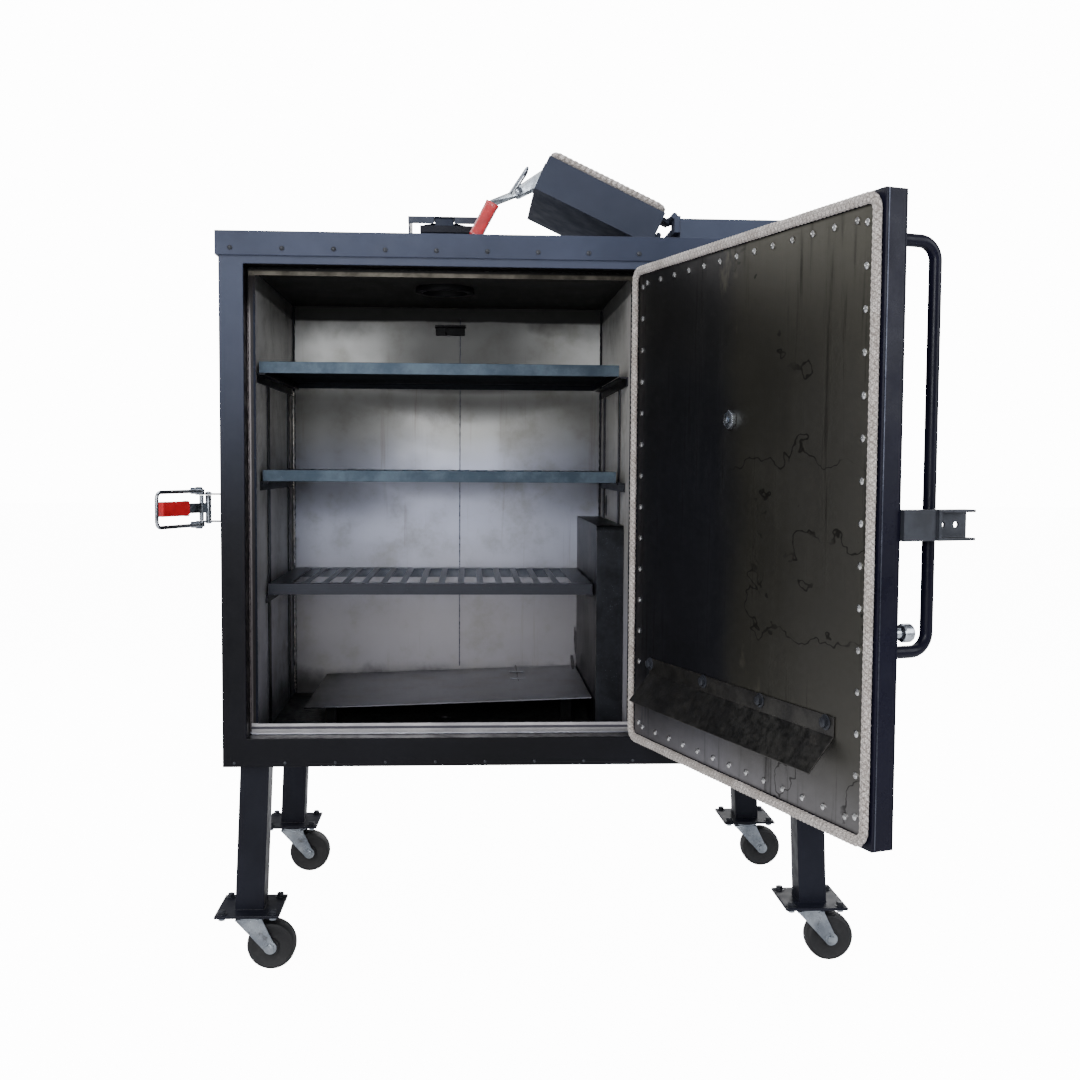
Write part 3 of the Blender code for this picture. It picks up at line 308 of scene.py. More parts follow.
def swept(route, section, closed=False, swell=None):
    """A section, as (side, up) pairs, carried along the route. swell(step, corner) scales each point."""
    route = [Vector(p) for p in route]
    count, corners = len(route), len(section)
    ways = []
    for k in range(count):
        before = route[k - 1] if closed or k else route[0]
        after = route[(k + 1) % count] if closed or k < count - 1 else route[-1]
        ways.append((after - before).normalized())
    up = Vector((0, 1, 0)) if abs(ways[0].y) < 0.9 else Vector((0, 0, 1))
    points = []
    for k in range(count):
        side = ways[k].cross(up)
        if side.length < 1e-6:
            side = Vector((1, 0, 0))
        side.normalize()
        top = side.cross(ways[k]).normalized()
        up = top if not closed else up
        for c, (s, u) in enumerate(section):
            grow = swell(k, c) if swell else 1.0
            points.append(route[k] + side * s * grow + top * u * grow)
    return from_points(points, tube_faces(count, corners, closed))


def oval(width, height, corners):
    return [
        (width / 2 * math.cos(2 * math.pi * c / corners), height / 2 * math.sin(2 * math.pi * c / corners))
        for c in range(corners)
    ]


def rounded_loop(low, high, radius, level, plane="XZ", step=ROPE_STEP):
    """Points evenly spaced round a rectangle with round corners, in the plane XZ at y=level or XY at z=level."""
    a0, b0, a1, b1 = low[0] + radius, low[1] + radius, high[0] - radius, high[1] - radius
    outline = []
    for ca, cb, start in ((a1, b0, -90), (a1, b1, 0), (a0, b1, 90), (a0, b0, 180)):
        for k in range(13):
            turn = math.radians(start + 7.5 * k)
            outline.append((ca + radius * math.cos(turn), cb + radius * math.sin(turn)))
    outline.append(outline[0])
    flat = np.array(outline)
    lengths = np.concatenate([[0], np.cumsum(np.linalg.norm(np.diff(flat, axis=0), axis=1))])
    count = int(lengths[-1] / step)
    spots = np.linspace(0, lengths[-1], count, endpoint=False)
    a, b = np.interp(spots, lengths, flat[:, 0]), np.interp(spots, lengths, flat[:, 1])
    return [(x, level, z) if plane == "XZ" else (x, z, level) for x, z in zip(a, b)]


def braided(route, width, height, corners=28, strands=6, pitch=0.030):
    """A flat braided rope: crossing strands stand out of an oval tube, which is lumpy along its length.
    How deep each point lies between the strands is kept in the attribute crevice, which the rope's finish turns
    into painted shade between the strands."""
    deep = {}

    def swell(k, c):
        along, around = k * ROPE_STEP / pitch * strands, c / corners * strands
        over = abs(math.sin(math.pi * (around + along) / 2)) * abs(math.sin(math.pi * (around - along) / 2))
        lump = 0.5 + 0.25 * math.sin(k * 0.071) + 0.25 * math.sin(k * 0.113 + 1.3)
        deep[(k, c)] = 1 - over**0.6
        return 0.78 + 0.165 * over**0.6 + 0.055 * lump

    piece = swept(route, oval(width, height, corners), closed=True, swell=swell)
    depths = [deep[(k // corners, k % corners)] for k in range(len(piece.data.vertices))]
    crevice = piece.data.attributes.new("crevice", "FLOAT", "POINT")
    crevice.data.foreach_set("value", depths)
    smooth(piece, 60)
    return piece


def swung(piece, hinge, turn, axis):
    """Turns a piece about a hinge."""
    about = Matrix.Translation(hinge)
    piece.matrix_world = about @ Matrix.Rotation(turn, 4, axis) @ about.inverted() @ piece.matrix_world
    settle(piece)
    return piece


def turn_door(piece):
    """Carries a piece drawn on the shut door to where the door stands open."""
    return swung(piece, DOOR_HINGE, DOOR_TURN, "Z")


def turn_lid(piece):
    """Carries a piece drawn on the shut chute lid to where the lid lies open."""
    return swung(piece, LID_HINGE, LID_TURN, "Y")


def shut_box(node):
    """A door node's box with the door shut."""
    back = Matrix.Rotation(-DOOR_TURN, 3, "Z")
    spots = np.array([back @ (v.co - DOOR_HINGE) + DOOR_HINGE for v in nodes[node].data.vertices])
    return Vector(spots.min(0)), Vector(spots.max(0))


def place(piece, name, body, paint, slot=None):
    piece.name = name
    piece.data.name = name
    piece.data.materials.clear()
    piece.data.materials.append(paint)
    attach(piece, body)
    return piece


# ------------------------------------------------------------------ finishes
SOOT_AND_SHADE = (0.010, 0.0095, 0.0085)
NEAR_BLACK = (0.004, 0.004, 0.004)
GRIME = (0.05, 0.04, 0.03)


class Field:
    """A number or colour that changes over a surface, with the usual arithmetic."""

    def __init__(self, finish, socket):
        self.finish, self.socket = finish, socket

    def reckon(self, how, first, second=0.0):
        return self.finish.node("ShaderNodeMath", {"operation": how}, {0: first, 1: second})

    def __add__(self, other):
        return self.reckon("ADD", self, other)

    __radd__ = __add__

    def __sub__(self, other):
        return self.reckon("SUBTRACT", self, other)

    def __rsub__(self, other):
        return self.reckon("SUBTRACT", other, self)

    def __mul__(self, other):
        return self.reckon("MULTIPLY", self, other)

    __rmul__ = __mul__

    def least(self, other):
        return self.reckon("MINIMUM", self, other)

    def most(self, other):
        return self.reckon("MAXIMUM", self, other)

    def away(self):
        return self.reckon("ABSOLUTE", self)

    def ramp(self, low, high, bottom=0.0, top=1.0):
        """Goes smoothly from bottom at low to top at high."""
        return self.finish.node(
            "ShaderNodeMapRange",
            {"interpolation_type": "SMOOTHSTEP"},
            {0: self, 1: low, 2: high, 3: bottom, 4: top},
        )


class Finish:
    """One material: its shader, and short ways to its patterns."""

    def __init__(self, name, metal=0.0, gloss=0.5, coat=0.0, sheen=0.0):
        self.material = bpy.data.materials.new(name)
        self.material.use_nodes = True
        self.tree = self.material.node_tree
        self.shader = next(n for n in self.tree.nodes if n.type == "BSDF_PRINCIPLED")
        self.shader.inputs["Metallic"].default_value = metal
        self.shader.inputs["Roughness"].default_value = gloss
        self.shader.inputs["Coat Weight"].default_value = coat
        self.shader.inputs["Sheen Weight"].default_value = sheen
        self.spot = self.node("ShaderNodeTexCoord", {}, {}, "Object")

    def feed(self, socket, value):
        if isinstance(value, Field):
            self.tree.links.new(value.socket, socket)
        elif isinstance(value, tuple) and len(value) == 3 and socket.type == "RGBA":
            socket.default_value = (*value, 1)
        else:
            socket.default_value = value

    def node(self, kind, settings, values, out=0):
        made = self.tree.nodes.new(kind)
        for name, value in settings.items():
            setattr(made, name, value)
        for key, value in values.items():
            self.feed(made.inputs[key], value)
        return Field(self, made.outputs[out])

    def axes(self):
        split = self.tree.nodes.new("ShaderNodeSeparateXYZ")
        self.feed(split.inputs[0], self.spot)
        return [Field(self, split.outputs[i]) for i in range(3)]

    def stretched(self, scale, shift=(0, 0, 0)):
        return self.node("ShaderNodeMapping", {}, {"Vector": self.spot, "Scale": scale, "Location": shift})

    def noise(self, scale, detail=4.0, rough=0.55, where=None):
        return self.node(
            "ShaderNodeTexNoise",
            {},
            {"Vector": where or self.spot, "Scale": scale, "Detail": detail, "Roughness": rough},
        )

    def cells(self, scale):
        return self.node("ShaderNodeTexVoronoi", {}, {"Vector": self.spot, "Scale": scale})

    def mix(self, share, first, second):
        made = self.tree.nodes.new("ShaderNodeMix")
        made.data_type = "RGBA"
        self.feed(made.inputs[0], share)
        self.feed(made.inputs[6], first)
        self.feed(made.inputs[7], second)
        return Field(self, made.outputs[2])

    def colour(self, value):
        self.feed(self.shader.inputs["Base Color"], value)

    def roughness(self, value):
        self.feed(self.shader.inputs["Roughness"], value)

    def metallic(self, value):
        self.feed(self.shader.inputs["Metallic"], value)

    def relief(self, height, depth, strength=1.0):
        bump = self.node("ShaderNodeBump", {}, {"Height": height, "Distance": depth, "Strength": strength})
        self.feed(self.shader.inputs["Normal"], bump)


def powder_coat(name, dark, pale, gloss=0.34, painted_sheen_rise=None, rebate=False):
    """Satin black with a slate cast: orange peel, rubbed patches, dust and a few pale scratches.
    painted_sheen_rise is two heights and the tone it turns to between them, a painted highlight that
    lightens the coat towards the top, and rebate blackens what lies behind the cabinet's face."""
    finish = Finish(name, metal=0.0, gloss=gloss)
    finish.shader.inputs["Specular IOR Level"].default_value = 0.13
    x, y, z = finish.axes()
    cloud = finish.noise(3.0, 4.0, 0.6)
    rubbed = finish.noise(26.0, 5.0, 0.62)
    grit = finish.noise(900.0, 2.0, 0.5)
    colour = finish.mix(cloud.ramp(0.3, 0.7), dark, pale)
    # Painted highlight: the coat turns paler towards the top, as where it reflects the light from above.
    if painted_sheen_rise:
        colour = finish.mix((z + (cloud - 0.5) * 0.06).ramp(painted_sheen_rise[0], painted_sheen_rise[1]), colour, painted_sheen_rise[2])
    scratch = finish.noise(7.0, 6.0, 0.7, finish.stretched((34.0, 34.0, 1.6))).ramp(0.69, 0.74)
    dust = finish.cells(260.0).ramp(0.06, 0.0) * finish.noise(11.0).ramp(0.5, 0.75)
    colour = finish.mix(scratch * 0.10, colour, (0.16, 0.17, 0.2))
    colour = finish.mix(dust * 0.35, colour, (0.12, 0.12, 0.13))
    if rebate:
        colour = finish.mix(y.ramp(FACE_Y + 0.0015, FACE_Y + 0.005), colour, (0.0025, 0.0024, 0.003))
    finish.colour(colour)
    finish.roughness(rubbed.ramp(0.3, 0.7, gloss - 0.06, gloss + 0.10) + grit * 0.04)
    finish.relief(grit + finish.noise(300.0, 2.0) * 0.8, 0.00016, 0.35)
    return finish.material


def chamber_steel(name, low_tone, mid_tone, high_tone, soot_and_shade_share=1.0, painted_rack_light=False, metal=1.0, legs=0.0):
    """Stainless sheet that smoke and grease have stained: bands of colour by height, runs, and darker at the
    top, the foot and the front. painted_rack_light paints light and shade round the racks, and below the height
    legs the sheet is painted black, painted shade under the drip plate."""
    finish = Finish(name, metal=1.0, gloss=0.36)
    x, y, z = finish.axes()
    waver = finish.noise(5.0, 5.0, 0.6)
    height = z + (waver - 0.5) * 0.10
    tone = finish.mix(height.ramp(0.66, 0.92), low_tone, mid_tone)
    tone = finish.mix(height.ramp(1.03, 1.16), tone, high_tone)
    blotch = finish.noise(9.0, 6.0, 0.7)
    tone = finish.mix(blotch.ramp(0.45, 0.72) * 0.42, tone, (0.16, 0.15, 0.12))
    runs = finish.noise(15.0, 5.0, 0.65, finish.stretched((2.2, 2.2, 0.10)))
    tone = finish.mix(runs.ramp(0.60, 0.74) * 0.35, tone, (0.13, 0.10, 0.08))
    speck = finish.cells(120.0).ramp(0.10, 0.02) * finish.noise(14.0).ramp(0.5, 0.7)
    tone = finish.mix(speck * 0.5, tone, (0.05, 0.04, 0.03))
    top = (z + (waver - 0.5) * 0.010).ramp(1.405, 1.415).most((z + (waver - 0.5) * 0.30).ramp(1.33, 1.56))
    foot = (z + (blotch - 0.5) * 0.10).ramp(0.57, 0.50)
    front = (y + (waver - 0.5) * 0.20).ramp(FACE_Y + 0.24, FACE_Y + 0.08)
    dirt_and_shade = top.most(foot * 0.85).most(front * 0.30)
    # Painted light and shade: lit fields between the racks, painted shadow in bands just under the upper and
    # middle racks, painted shade towards the side corners, and above the upper rack a darker middle.
    if painted_rack_light:
        aside = ((x + (waver - 0.5) * 0.12) - (EDGE_X + 0.49)).away().ramp(0.06, 0.33)
        shelf = z.ramp(1.20, 1.26)
        dirt_and_shade = dirt_and_shade.most(aside * (1 - shelf) * (z.ramp(0.90, 1.00) * 0.34 + 0.12))
        dirt_and_shade = dirt_and_shade.most((1 - aside) * shelf * 0.50)
        under = (z + (waver - 0.5) * 0.03).ramp(1.155, 1.235) * (1 - shelf)
        under = under.most(z.ramp(0.955, 1.015) * (1 - z.ramp(1.015, 1.03)) * 0.5)
        dirt_and_shade = dirt_and_shade.most(under * 0.6)
    dirt_and_shade = dirt_and_shade * soot_and_shade_share
    tone = finish.mix(dirt_and_shade.least(1.0), tone, SOOT_AND_SHADE)
    # Painted shade: below the height legs the sheet turns near black, the shade under the drip plate.
    if legs:
        tone = finish.mix(z.ramp(legs, legs - 0.004), tone, NEAR_BLACK)
    finish.colour(tone)
    brushed = finish.noise(60.0, 3.0, 0.6, finish.stretched((1.0, 1.0, 34.0)))
    finish.roughness(0.27 + blotch * 0.20 + brushed * 0.08 + dirt_and_shade * 0.30)
    finish.metallic(metal - dirt_and_shade * 0.75 * metal)
    finish.relief(brushed * 0.4 + blotch + speck, 0.0005, 0.5)
    return finish.material


def door_steel(name):
    """The door's inner sheet: seasoned nearly black, bluish by the hinge, olive by the free edge, with runs, and
    a painted sheen low down and on the lower middle of the free half.
    """
    finish = Finish(name, metal=1.0, gloss=0.42)
    x, y, z = finish.axes()
    along = (x - DOOR_HINGE.x) * math.cos(DOOR_TURN) + (y - DOOR_HINGE.y) * math.sin(DOOR_TURN)
    free = along * -1.0  # distance from the hinge towards the free edge
    cloud = finish.noise(4.0, 5.0, 0.6)
    olive = (free + (cloud - 0.5) * 0.16).ramp(0.34, 0.46)
    tone = finish.mix(olive, (0.036, 0.037, 0.045), (0.072, 0.069, 0.057))
    tone = finish.mix((z + (cloud - 0.5) * 0.2).ramp(1.05, 1.42) * 0.45, tone, (0.070, 0.066, 0.054))
    # Painted highlight: the sheet turns pale grey low down.
    tone = finish.mix((z + (cloud - 0.5) * 0.12).ramp(0.66, 0.50) * 0.85, tone, (0.32, 0.31, 0.33))
    # Painted sheen across the lower middle of the free half.
    painted_sheen_free_half = (free + (cloud - 0.5) * 0.2).ramp(0.44, 0.70) * z.ramp(1.30, 1.10)
    tone = finish.mix(painted_sheen_free_half * 0.5, tone, (0.125, 0.120, 0.108))
    runs = finish.noise(13.0, 6.0, 0.68, finish.stretched((2.6, 2.6, 0.16)))
    tone = finish.mix(runs.ramp(0.56, 0.70) * 0.6, tone, (0.014, 0.013, 0.011))
    smear = finish.noise(3.2, 6.0, 0.7, finish.stretched((1.0, 1.0, 0.5)))
    tone = finish.mix(smear.ramp(0.60, 0.66) * (1 - smear.ramp(0.66, 0.72)) * 0.6, tone, (0.15, 0.14, 0.11))
    swirl = finish.noise(2.4, 5.0, 0.55, finish.stretched((1.0, 1.0, 1.5), shift=(0.3, 0.1, 0.6)))
    drip_line = (swirl - 0.5).away().ramp(0.0045, 0.0015) * free.ramp(0.38, 0.44) * cloud.ramp(0.40, 0.52)
    tone = finish.mix(drip_line * 0.8, tone, (0.016, 0.015, 0.013))
    speck = finish.cells(150.0).ramp(0.09, 0.02) * cloud.ramp(0.5, 0.7)
    tone = finish.mix(speck * 0.5, tone, (0.16, 0.15, 0.12))
    finish.colour(tone)
    brushed = finish.noise(70.0, 3.0, 0.6, finish.stretched((14.0, 14.0, 0.5)))
    finish.roughness(0.33 + cloud * 0.16 + brushed * 0.08 + runs.ramp(0.5, 0.7) * 0.10)
    finish.relief(brushed * 0.4 + runs * 0.8, 0.0005, 0.45)
    return finish.material


def bare_metal(name, tone, second, gloss, grain, metal=1.0, dirt_and_shade=GRIME, dirty=0.35, depth=0.0002):
    """Plated or mill-finish steel with uneven tone and grime."""
    finish = Finish(name, metal=metal, gloss=gloss)
    patch = finish.noise(18.0, 5.0, 0.6)
    fine = finish.noise(grain, 4.0, 0.6)
    tone = finish.mix(patch.ramp(0.35, 0.65), tone, second)
    grime = finish.noise(42.0, 6.0, 0.7).ramp(0.55, 0.72)
    finish.colour(finish.mix(grime * dirty, tone, dirt_and_shade))
    finish.roughness(fine.ramp(0.3, 0.7, gloss - 0.07, gloss + 0.10) + grime * 0.18)
    finish.relief(fine, depth, 0.4)
    return finish.material


def rope_finish(name):
    """Pale glass yarn, sooted in patches, with painted shade between its strands."""
    finish = Finish(name, gloss=0.92, sheen=0.25)
    fine = finish.cells(420.0)
    patch = finish.noise(22.0, 4.0, 0.6)
    soot = finish.noise(9.0, 5.0, 0.7)
    deep = finish.node("ShaderNodeAttribute", {"attribute_name": "crevice"}, {}, "Fac")
    tone = finish.mix(patch.ramp(0.35, 0.65), (0.74, 0.68, 0.64), (0.52, 0.465, 0.42))
    tone = finish.mix(fine.ramp(0.34, 0.62) * 0.68, tone, (0.15, 0.125, 0.11))
    # Painted shade: darker the deeper a point lies between the strands.
    tone = finish.mix(deep.ramp(0.25, 1.0) * 0.72, tone, (0.075, 0.062, 0.052))
    finish.colour(finish.mix(soot.ramp(0.58, 0.75) * 0.5, tone, (0.14, 0.12, 0.10)))
    finish.relief(finish.noise(1500.0, 2.0) - fine, 0.0010, 0.9)
    return finish.material


def rack_steel(name, tone, second, lip=None, grate=None):
    """Heat-blued steel with baked-on specks. lip is the tone of the lower rack's darker front edge, and grate
    names a rack that is painted black behind its front edge: painted shade on its underside."""
    finish = Finish(name, metal=0.9, gloss=0.36)
    x, y, z = finish.axes()
    patch = finish.noise(12.0, 5.0, 0.65)
    crumbs = finish.cells(210.0).ramp(0.16, 0.03)
    crumbs = crumbs * finish.noise(24.0, 4.0).ramp(0.42, 0.66)
    tone = finish.mix(patch.ramp(0.35, 0.68), tone, second)
    if lip:
        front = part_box("rack_lower")[0].y
        tone = finish.mix(y.ramp(front + 0.006, front + 0.003), tone, lip)
    # Painted shade: black behind the front edge, without crumbs.
    if grate:
        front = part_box(grate)[0].y
        tone = finish.mix(y.ramp(front + 0.003, front + 0.008), tone, (0.005, 0.006, 0.008))
        crumbs = crumbs * y.ramp(front + 0.008, front + 0.003)
    finish.colour(finish.mix(crumbs * 0.6, tone, (0.16, 0.19, 0.22)))
    finish.roughness(0.30 + patch * 0.22 + crumbs * 0.3)
    finish.relief(crumbs + finish.noise(400.0, 3.0) * 0.4, 0.0007, 0.6)
    return finish.material


def dipped_red(name):
    """Red vinyl with worn, darker patches."""
    finish = Finish(name, gloss=0.33, coat=0.25)
    patch = finish.noise(60.0, 4.0)
    tone = finish.mix(patch.ramp(0.35, 0.7), (0.56, 0.012, 0.018), (0.40, 0.008, 0.012))
    finish.colour(finish.mix(finish.noise(140.0, 5.0).ramp(0.62, 0.72) * 0.5, tone, (0.10, 0.01, 0.01)))
    finish.relief(patch, 0.0004, 0.5)
    return finish.material


def wheel_rubber(name):
    """Hard black rubber with floor dust."""
    finish = Finish(name, gloss=0.62)
    dust = finish.noise(30.0, 6.0, 0.7)
    tone = finish.mix(dust.ramp(0.48, 0.75) * 0.5, (0.005, 0.005, 0.006), (0.035, 0.033, 0.034))
    finish.colour(tone)
    finish.roughness(0.5 + dust * 0.25)
    finish.relief(finish.noise(500.0, 3.0) + dust, 0.0004, 0.5)
    return finish.material


def flange_steel(name):
    """The seal flange: dark down the sides and across the top, with a blued weld edge. A painted
    highlight runs down the rim of the sides, and the bright sill is a painted highlight with stripes of painted
    shade."""
    finish = Finish(name, metal=1.0, gloss=0.27)
    x, y, z = finish.axes()
    patch = finish.noise(16.0, 5.0, 0.65)
    fleck = finish.noise(90.0, 5.0, 0.7)
    levels = sorted({round(v.co.z, 4) for v in nodes["seal_flange"].data.vertices})
    sill, head = next(v for v in levels if v > 0.498), next(v for v in reversed(levels) if v < 1.458)
    wavy = z + (fleck - 0.5) * 0.0012
    inner = (x + (fleck - 0.5) * 0.002).ramp(EDGE_X + 0.0598, EDGE_X + 0.0612)
    side = finish.mix(inner, (0.020, 0.0185, 0.0185), (0.009, 0.010, 0.015))
    side = finish.mix(fleck.ramp(0.62, 0.70) * inner, side, (0.07, 0.085, 0.12))
    # Painted highlight: a pale line down the rim of the sides, fading out towards the top.
    rim = (x - (EDGE_X + 0.0530)).away().ramp(0.0030, 0.0012)
    side = finish.mix(rim * 0.8 * z.ramp(1.40, 1.34), side, (0.125, 0.112, 0.112))
    over = finish.mix(patch.ramp(0.35, 0.65), (0.018, 0.016, 0.013), (0.062, 0.056, 0.046))
    over = finish.mix(wavy.ramp(head + 0.0065, head + 0.010), over, NEAR_BLACK)
    side = finish.mix(z.ramp(head - 0.09, head), side, (0.008, 0.007, 0.007))
    side = finish.mix(z.ramp(head - 0.002, head + 0.001), side, over)
    # Painted light on the sill: bright steel as a painted highlight, with a dark line and a darker lower band of
    # painted shade between its bright stripes.
    bright = finish.mix(patch.ramp(0.3, 0.7), (0.52, 0.50, 0.50), (0.36, 0.345, 0.355))
    bright = finish.mix((wavy - (sill - 0.0085)).away().ramp(0.0034, 0.0022), bright, (0.075, 0.072, 0.085))
    bright = finish.mix(wavy.ramp(sill - 0.0195, sill - 0.0215), bright, (0.035, 0.033, 0.042))
    low = z.ramp(sill + 0.0016, sill + 0.0002)
    finish.colour(finish.mix(low, side, bright))
    finish.roughness(0.24 + patch * 0.18 + fleck.ramp(0.6, 0.7) * 0.15)
    finish.relief(fleck, 0.0003, 0.4)
    return finish.material


def rebate_bead(name):
    """The weld round the flange: bright under the door sill with a painted highlight, dull up the side and black
    across the top.
    """
    finish = Finish(name, metal=1.0, gloss=0.35)
    x, y, z = finish.axes()
    fleck = finish.noise(120.0, 5.0, 0.7)
    tone = finish.mix(fleck.ramp(0.35, 0.65), (0.060, 0.052, 0.055), (0.125, 0.108, 0.108))
    # Painted highlight: the bead turns pale where it runs under the door sill.
    tone = finish.mix(z.ramp(0.508, 0.505), tone, (0.36, 0.36, 0.40))
    finish.colour(finish.mix(z.ramp(1.33, 1.40), tone, NEAR_BLACK))
    finish.relief(fleck, 0.0003, 0.4)
    return finish.material


# Painted highlights of the frame and the stack: the heights over which the coat turns paler towards the top, and
# that paler tone.
FRAME_PAINTED_SHEEN = (0.85, 1.52, (0.052, 0.062, 0.096))
STACK_PAINTED_SHEEN = (1.50, 1.54, (0.030, 0.036, 0.056))
COAT = powder_coat("satin_black_powder_coat", (0.006, 0.0065, 0.0105), (0.012, 0.013, 0.021))
FRAME_COAT = powder_coat(
    "satin_black_frame", (0.0020, 0.0020, 0.0032), (0.0040, 0.0041, 0.0066), 0.34, FRAME_PAINTED_SHEEN, rebate=True
)
# The roof, chute and lid coats are paler lit copies of the same black coat: their slate tone is a painted
# highlight.
CAP_COAT = powder_coat("satin_black_roof", (0.033, 0.040, 0.064), (0.052, 0.062, 0.098), 0.36)
CHUTE_COAT = powder_coat("satin_black_chute", (0.050, 0.060, 0.090), (0.078, 0.092, 0.136), 0.36)
STACK_COAT = powder_coat(
    "satin_black_stack", (0.0025, 0.0025, 0.003), (0.0045, 0.0045, 0.005), 0.5, STACK_PAINTED_SHEEN
)
LID_COAT = powder_coat("satin_black_lid", (0.036, 0.042, 0.062), (0.055, 0.064, 0.092), 0.34)
DOOR_COAT = powder_coat("satin_navy_door_edge", (0.0035, 0.0035, 0.009), (0.007, 0.007, 0.016), 0.28)
# The back wall carries painted light and shade round the racks.
BACK_WALL = chamber_steel(
    "smoked_back_wall", (0.225, 0.215, 0.225), (0.275, 0.285, 0.345), (0.245, 0.242, 0.232), painted_rack_light=True
)
SIDE_WALL = chamber_steel(
    "smoked_side_wall", (0.50, 0.50, 0.56), (0.46, 0.455, 0.44), (0.62, 0.61, 0.59), soot_and_shade_share=0.85, metal=0.45
)
CEILING = chamber_steel("sooted_ceiling", (0.10, 0.09, 0.07), (0.10, 0.09, 0.07), (0.085, 0.075, 0.06))
# The drip plate's legs are painted black below 0.534: painted shade under the plate.
DRIP_STEEL = chamber_steel(
    "drip_plate_steel", (0.20, 0.205, 0.24), (0.2, 0.2, 0.23), (0.2, 0.2, 0.2), soot_and_shade_share=0.15, legs=0.534
)
BRIGHT_STEEL = bare_metal(
    "bright_steel", (0.42, 0.38, 0.34), (0.24, 0.23, 0.25), 0.24, 160.0, dirt_and_shade=(0.06, 0.05, 0.05), dirty=0.5
)
SLATE_SEAM_AND_HIGHLIGHT = bare_metal("slate_seam_and_edge_highlight", (0.09, 0.095, 0.12), (0.05, 0.053, 0.07), 0.30, 160.0, dirty=0.3)
DOOR_SHEET = door_steel("seasoned_door_sheet")
FLANGE_WELD = rebate_bead("rebate_weld_bead")
FLANGE = flange_steel("scorched_flange_steel")
LIP_STEEL = bare_metal("seasoned_drip_lip", (0.060, 0.058, 0.056), (0.100, 0.096, 0.088), 0.40, 90.0)
HEAT_BLUE, PALE_BLUE = (0.022, 0.031, 0.042), (0.052, 0.070, 0.088)
RACK_BLUE = rack_steel("heat_blued_rack", HEAT_BLUE, PALE_BLUE)
RACK_TOP = rack_steel("heat_blued_rack_upper", HEAT_BLUE, PALE_BLUE, grate="rack_upper")
RACK_PALE = rack_steel("pale_rack", (0.042, 0.046, 0.058), (0.092, 0.098, 0.115), lip=(0.026, 0.027, 0.033))
RAIL_STEEL = rack_steel("sooted_rail", (0.008, 0.0085, 0.010), (0.017, 0.018, 0.022))
ZINC = bare_metal("zinc_plate", (0.36, 0.39, 0.42), (0.20, 0.22, 0.25), 0.30, 90.0, dirty=0.55)
PALE_ZINC = bare_metal("pale_zinc_plate", (0.50, 0.53, 0.56), (0.30, 0.33, 0.37), 0.32, 90.0, dirty=0.5)
CHROME = bare_metal("bright_hardware", (0.46, 0.49, 0.53), (0.24, 0.26, 0.30), 0.24, 110.0, dirty=0.45)
NUT_STEEL = bare_metal("dark_nut_steel", (0.07, 0.085, 0.11), (0.14, 0.16, 0.19), 0.30, 110.0, dirty=0.6)
RIVET = bare_metal("rivet_steel", (0.72, 0.73, 0.73), (0.50, 0.50, 0.49), 0.22, 300.0, dirty=0.5)
BLACK_BOLT = bare_metal(
    "black_bolt", (0.016, 0.018, 0.024), (0.030, 0.033, 0.042), 0.38, 300.0, metal=0.4, dirty=0.2
)
SOOTED = bare_metal(
    "sooted_plate",
    (0.020, 0.020, 0.021),
    (0.042, 0.041, 0.042),
    0.50,
    90.0,
    metal=0.6,
    dirt_and_shade=(0.09, 0.085, 0.08),
    dirty=0.25,
    depth=0.0006,
)
WOOL = bare_metal("mineral_wool", (0.45, 0.40, 0.22), (0.33, 0.29, 0.15), 0.9, 300.0, metal=0.0, depth=0.002)
ROPE = rope_finish("glass_rope")
RED = dipped_red("dipped_red_vinyl")
RUBBER = wheel_rubber("hard_black_rubber")

NODE_PAINT = {
    "roof_cap": CAP_COAT,
    "front_frame": FRAME_COAT,
    "charcoal_chute": CHUTE_COAT,
    "chute_lid": LID_COAT,
    "exhaust_flap": LID_COAT,
    "liner_back_wall": BACK_WALL,
    "liner_left_wall": SIDE_WALL,
    "liner_right_wall": SIDE_WALL,
    "liner_ceiling": CEILING,
    "liner_floor": SOOTED,
    "drip_plate": DRIP_STEEL,
    "heat_duct": RAIL_STEEL,
    "seal_flange": FLANGE,
    "door_pan": DOOR_COAT,
    "door_inner_panel": DOOR_SHEET,
    "door_drip_lip": LIP_STEEL,
    "rack_upper": RACK_TOP,
    "rack_middle": RACK_BLUE,
    "rack_lower": RACK_PALE,
    "rack_rails_left": RAIL_STEEL,
    "rack_rails_right": RAIL_STEEL,
    "probe_port": CHROME,
    "draught_spinner": ZINC,
    "door_strike": BLACK_BOLT,
    "side_dial": CHROME,
    "firebox": SOOTED,
    "fire_grate": SOOTED,
    "ash_pan": SOOTED,
    "insulation_jacket": WOOL,
    "door_insulation": WOOL,
    "door_latch_bracket": ZINC,
    "door_latch_lever": CHROME,
    "door_latch_hook": CHROME,
    "chute_latch_bracket": ZINC,
    "chute_latch_lever": CHROME,
    "chute_latch_hook": CHROME,
}
for name, node in nodes.items():
    paint = NODE_PAINT.get(name, PALE_ZINC if name.endswith("_fork") else COAT)
    node.data.materials.clear()
    node.data.materials.append(paint)

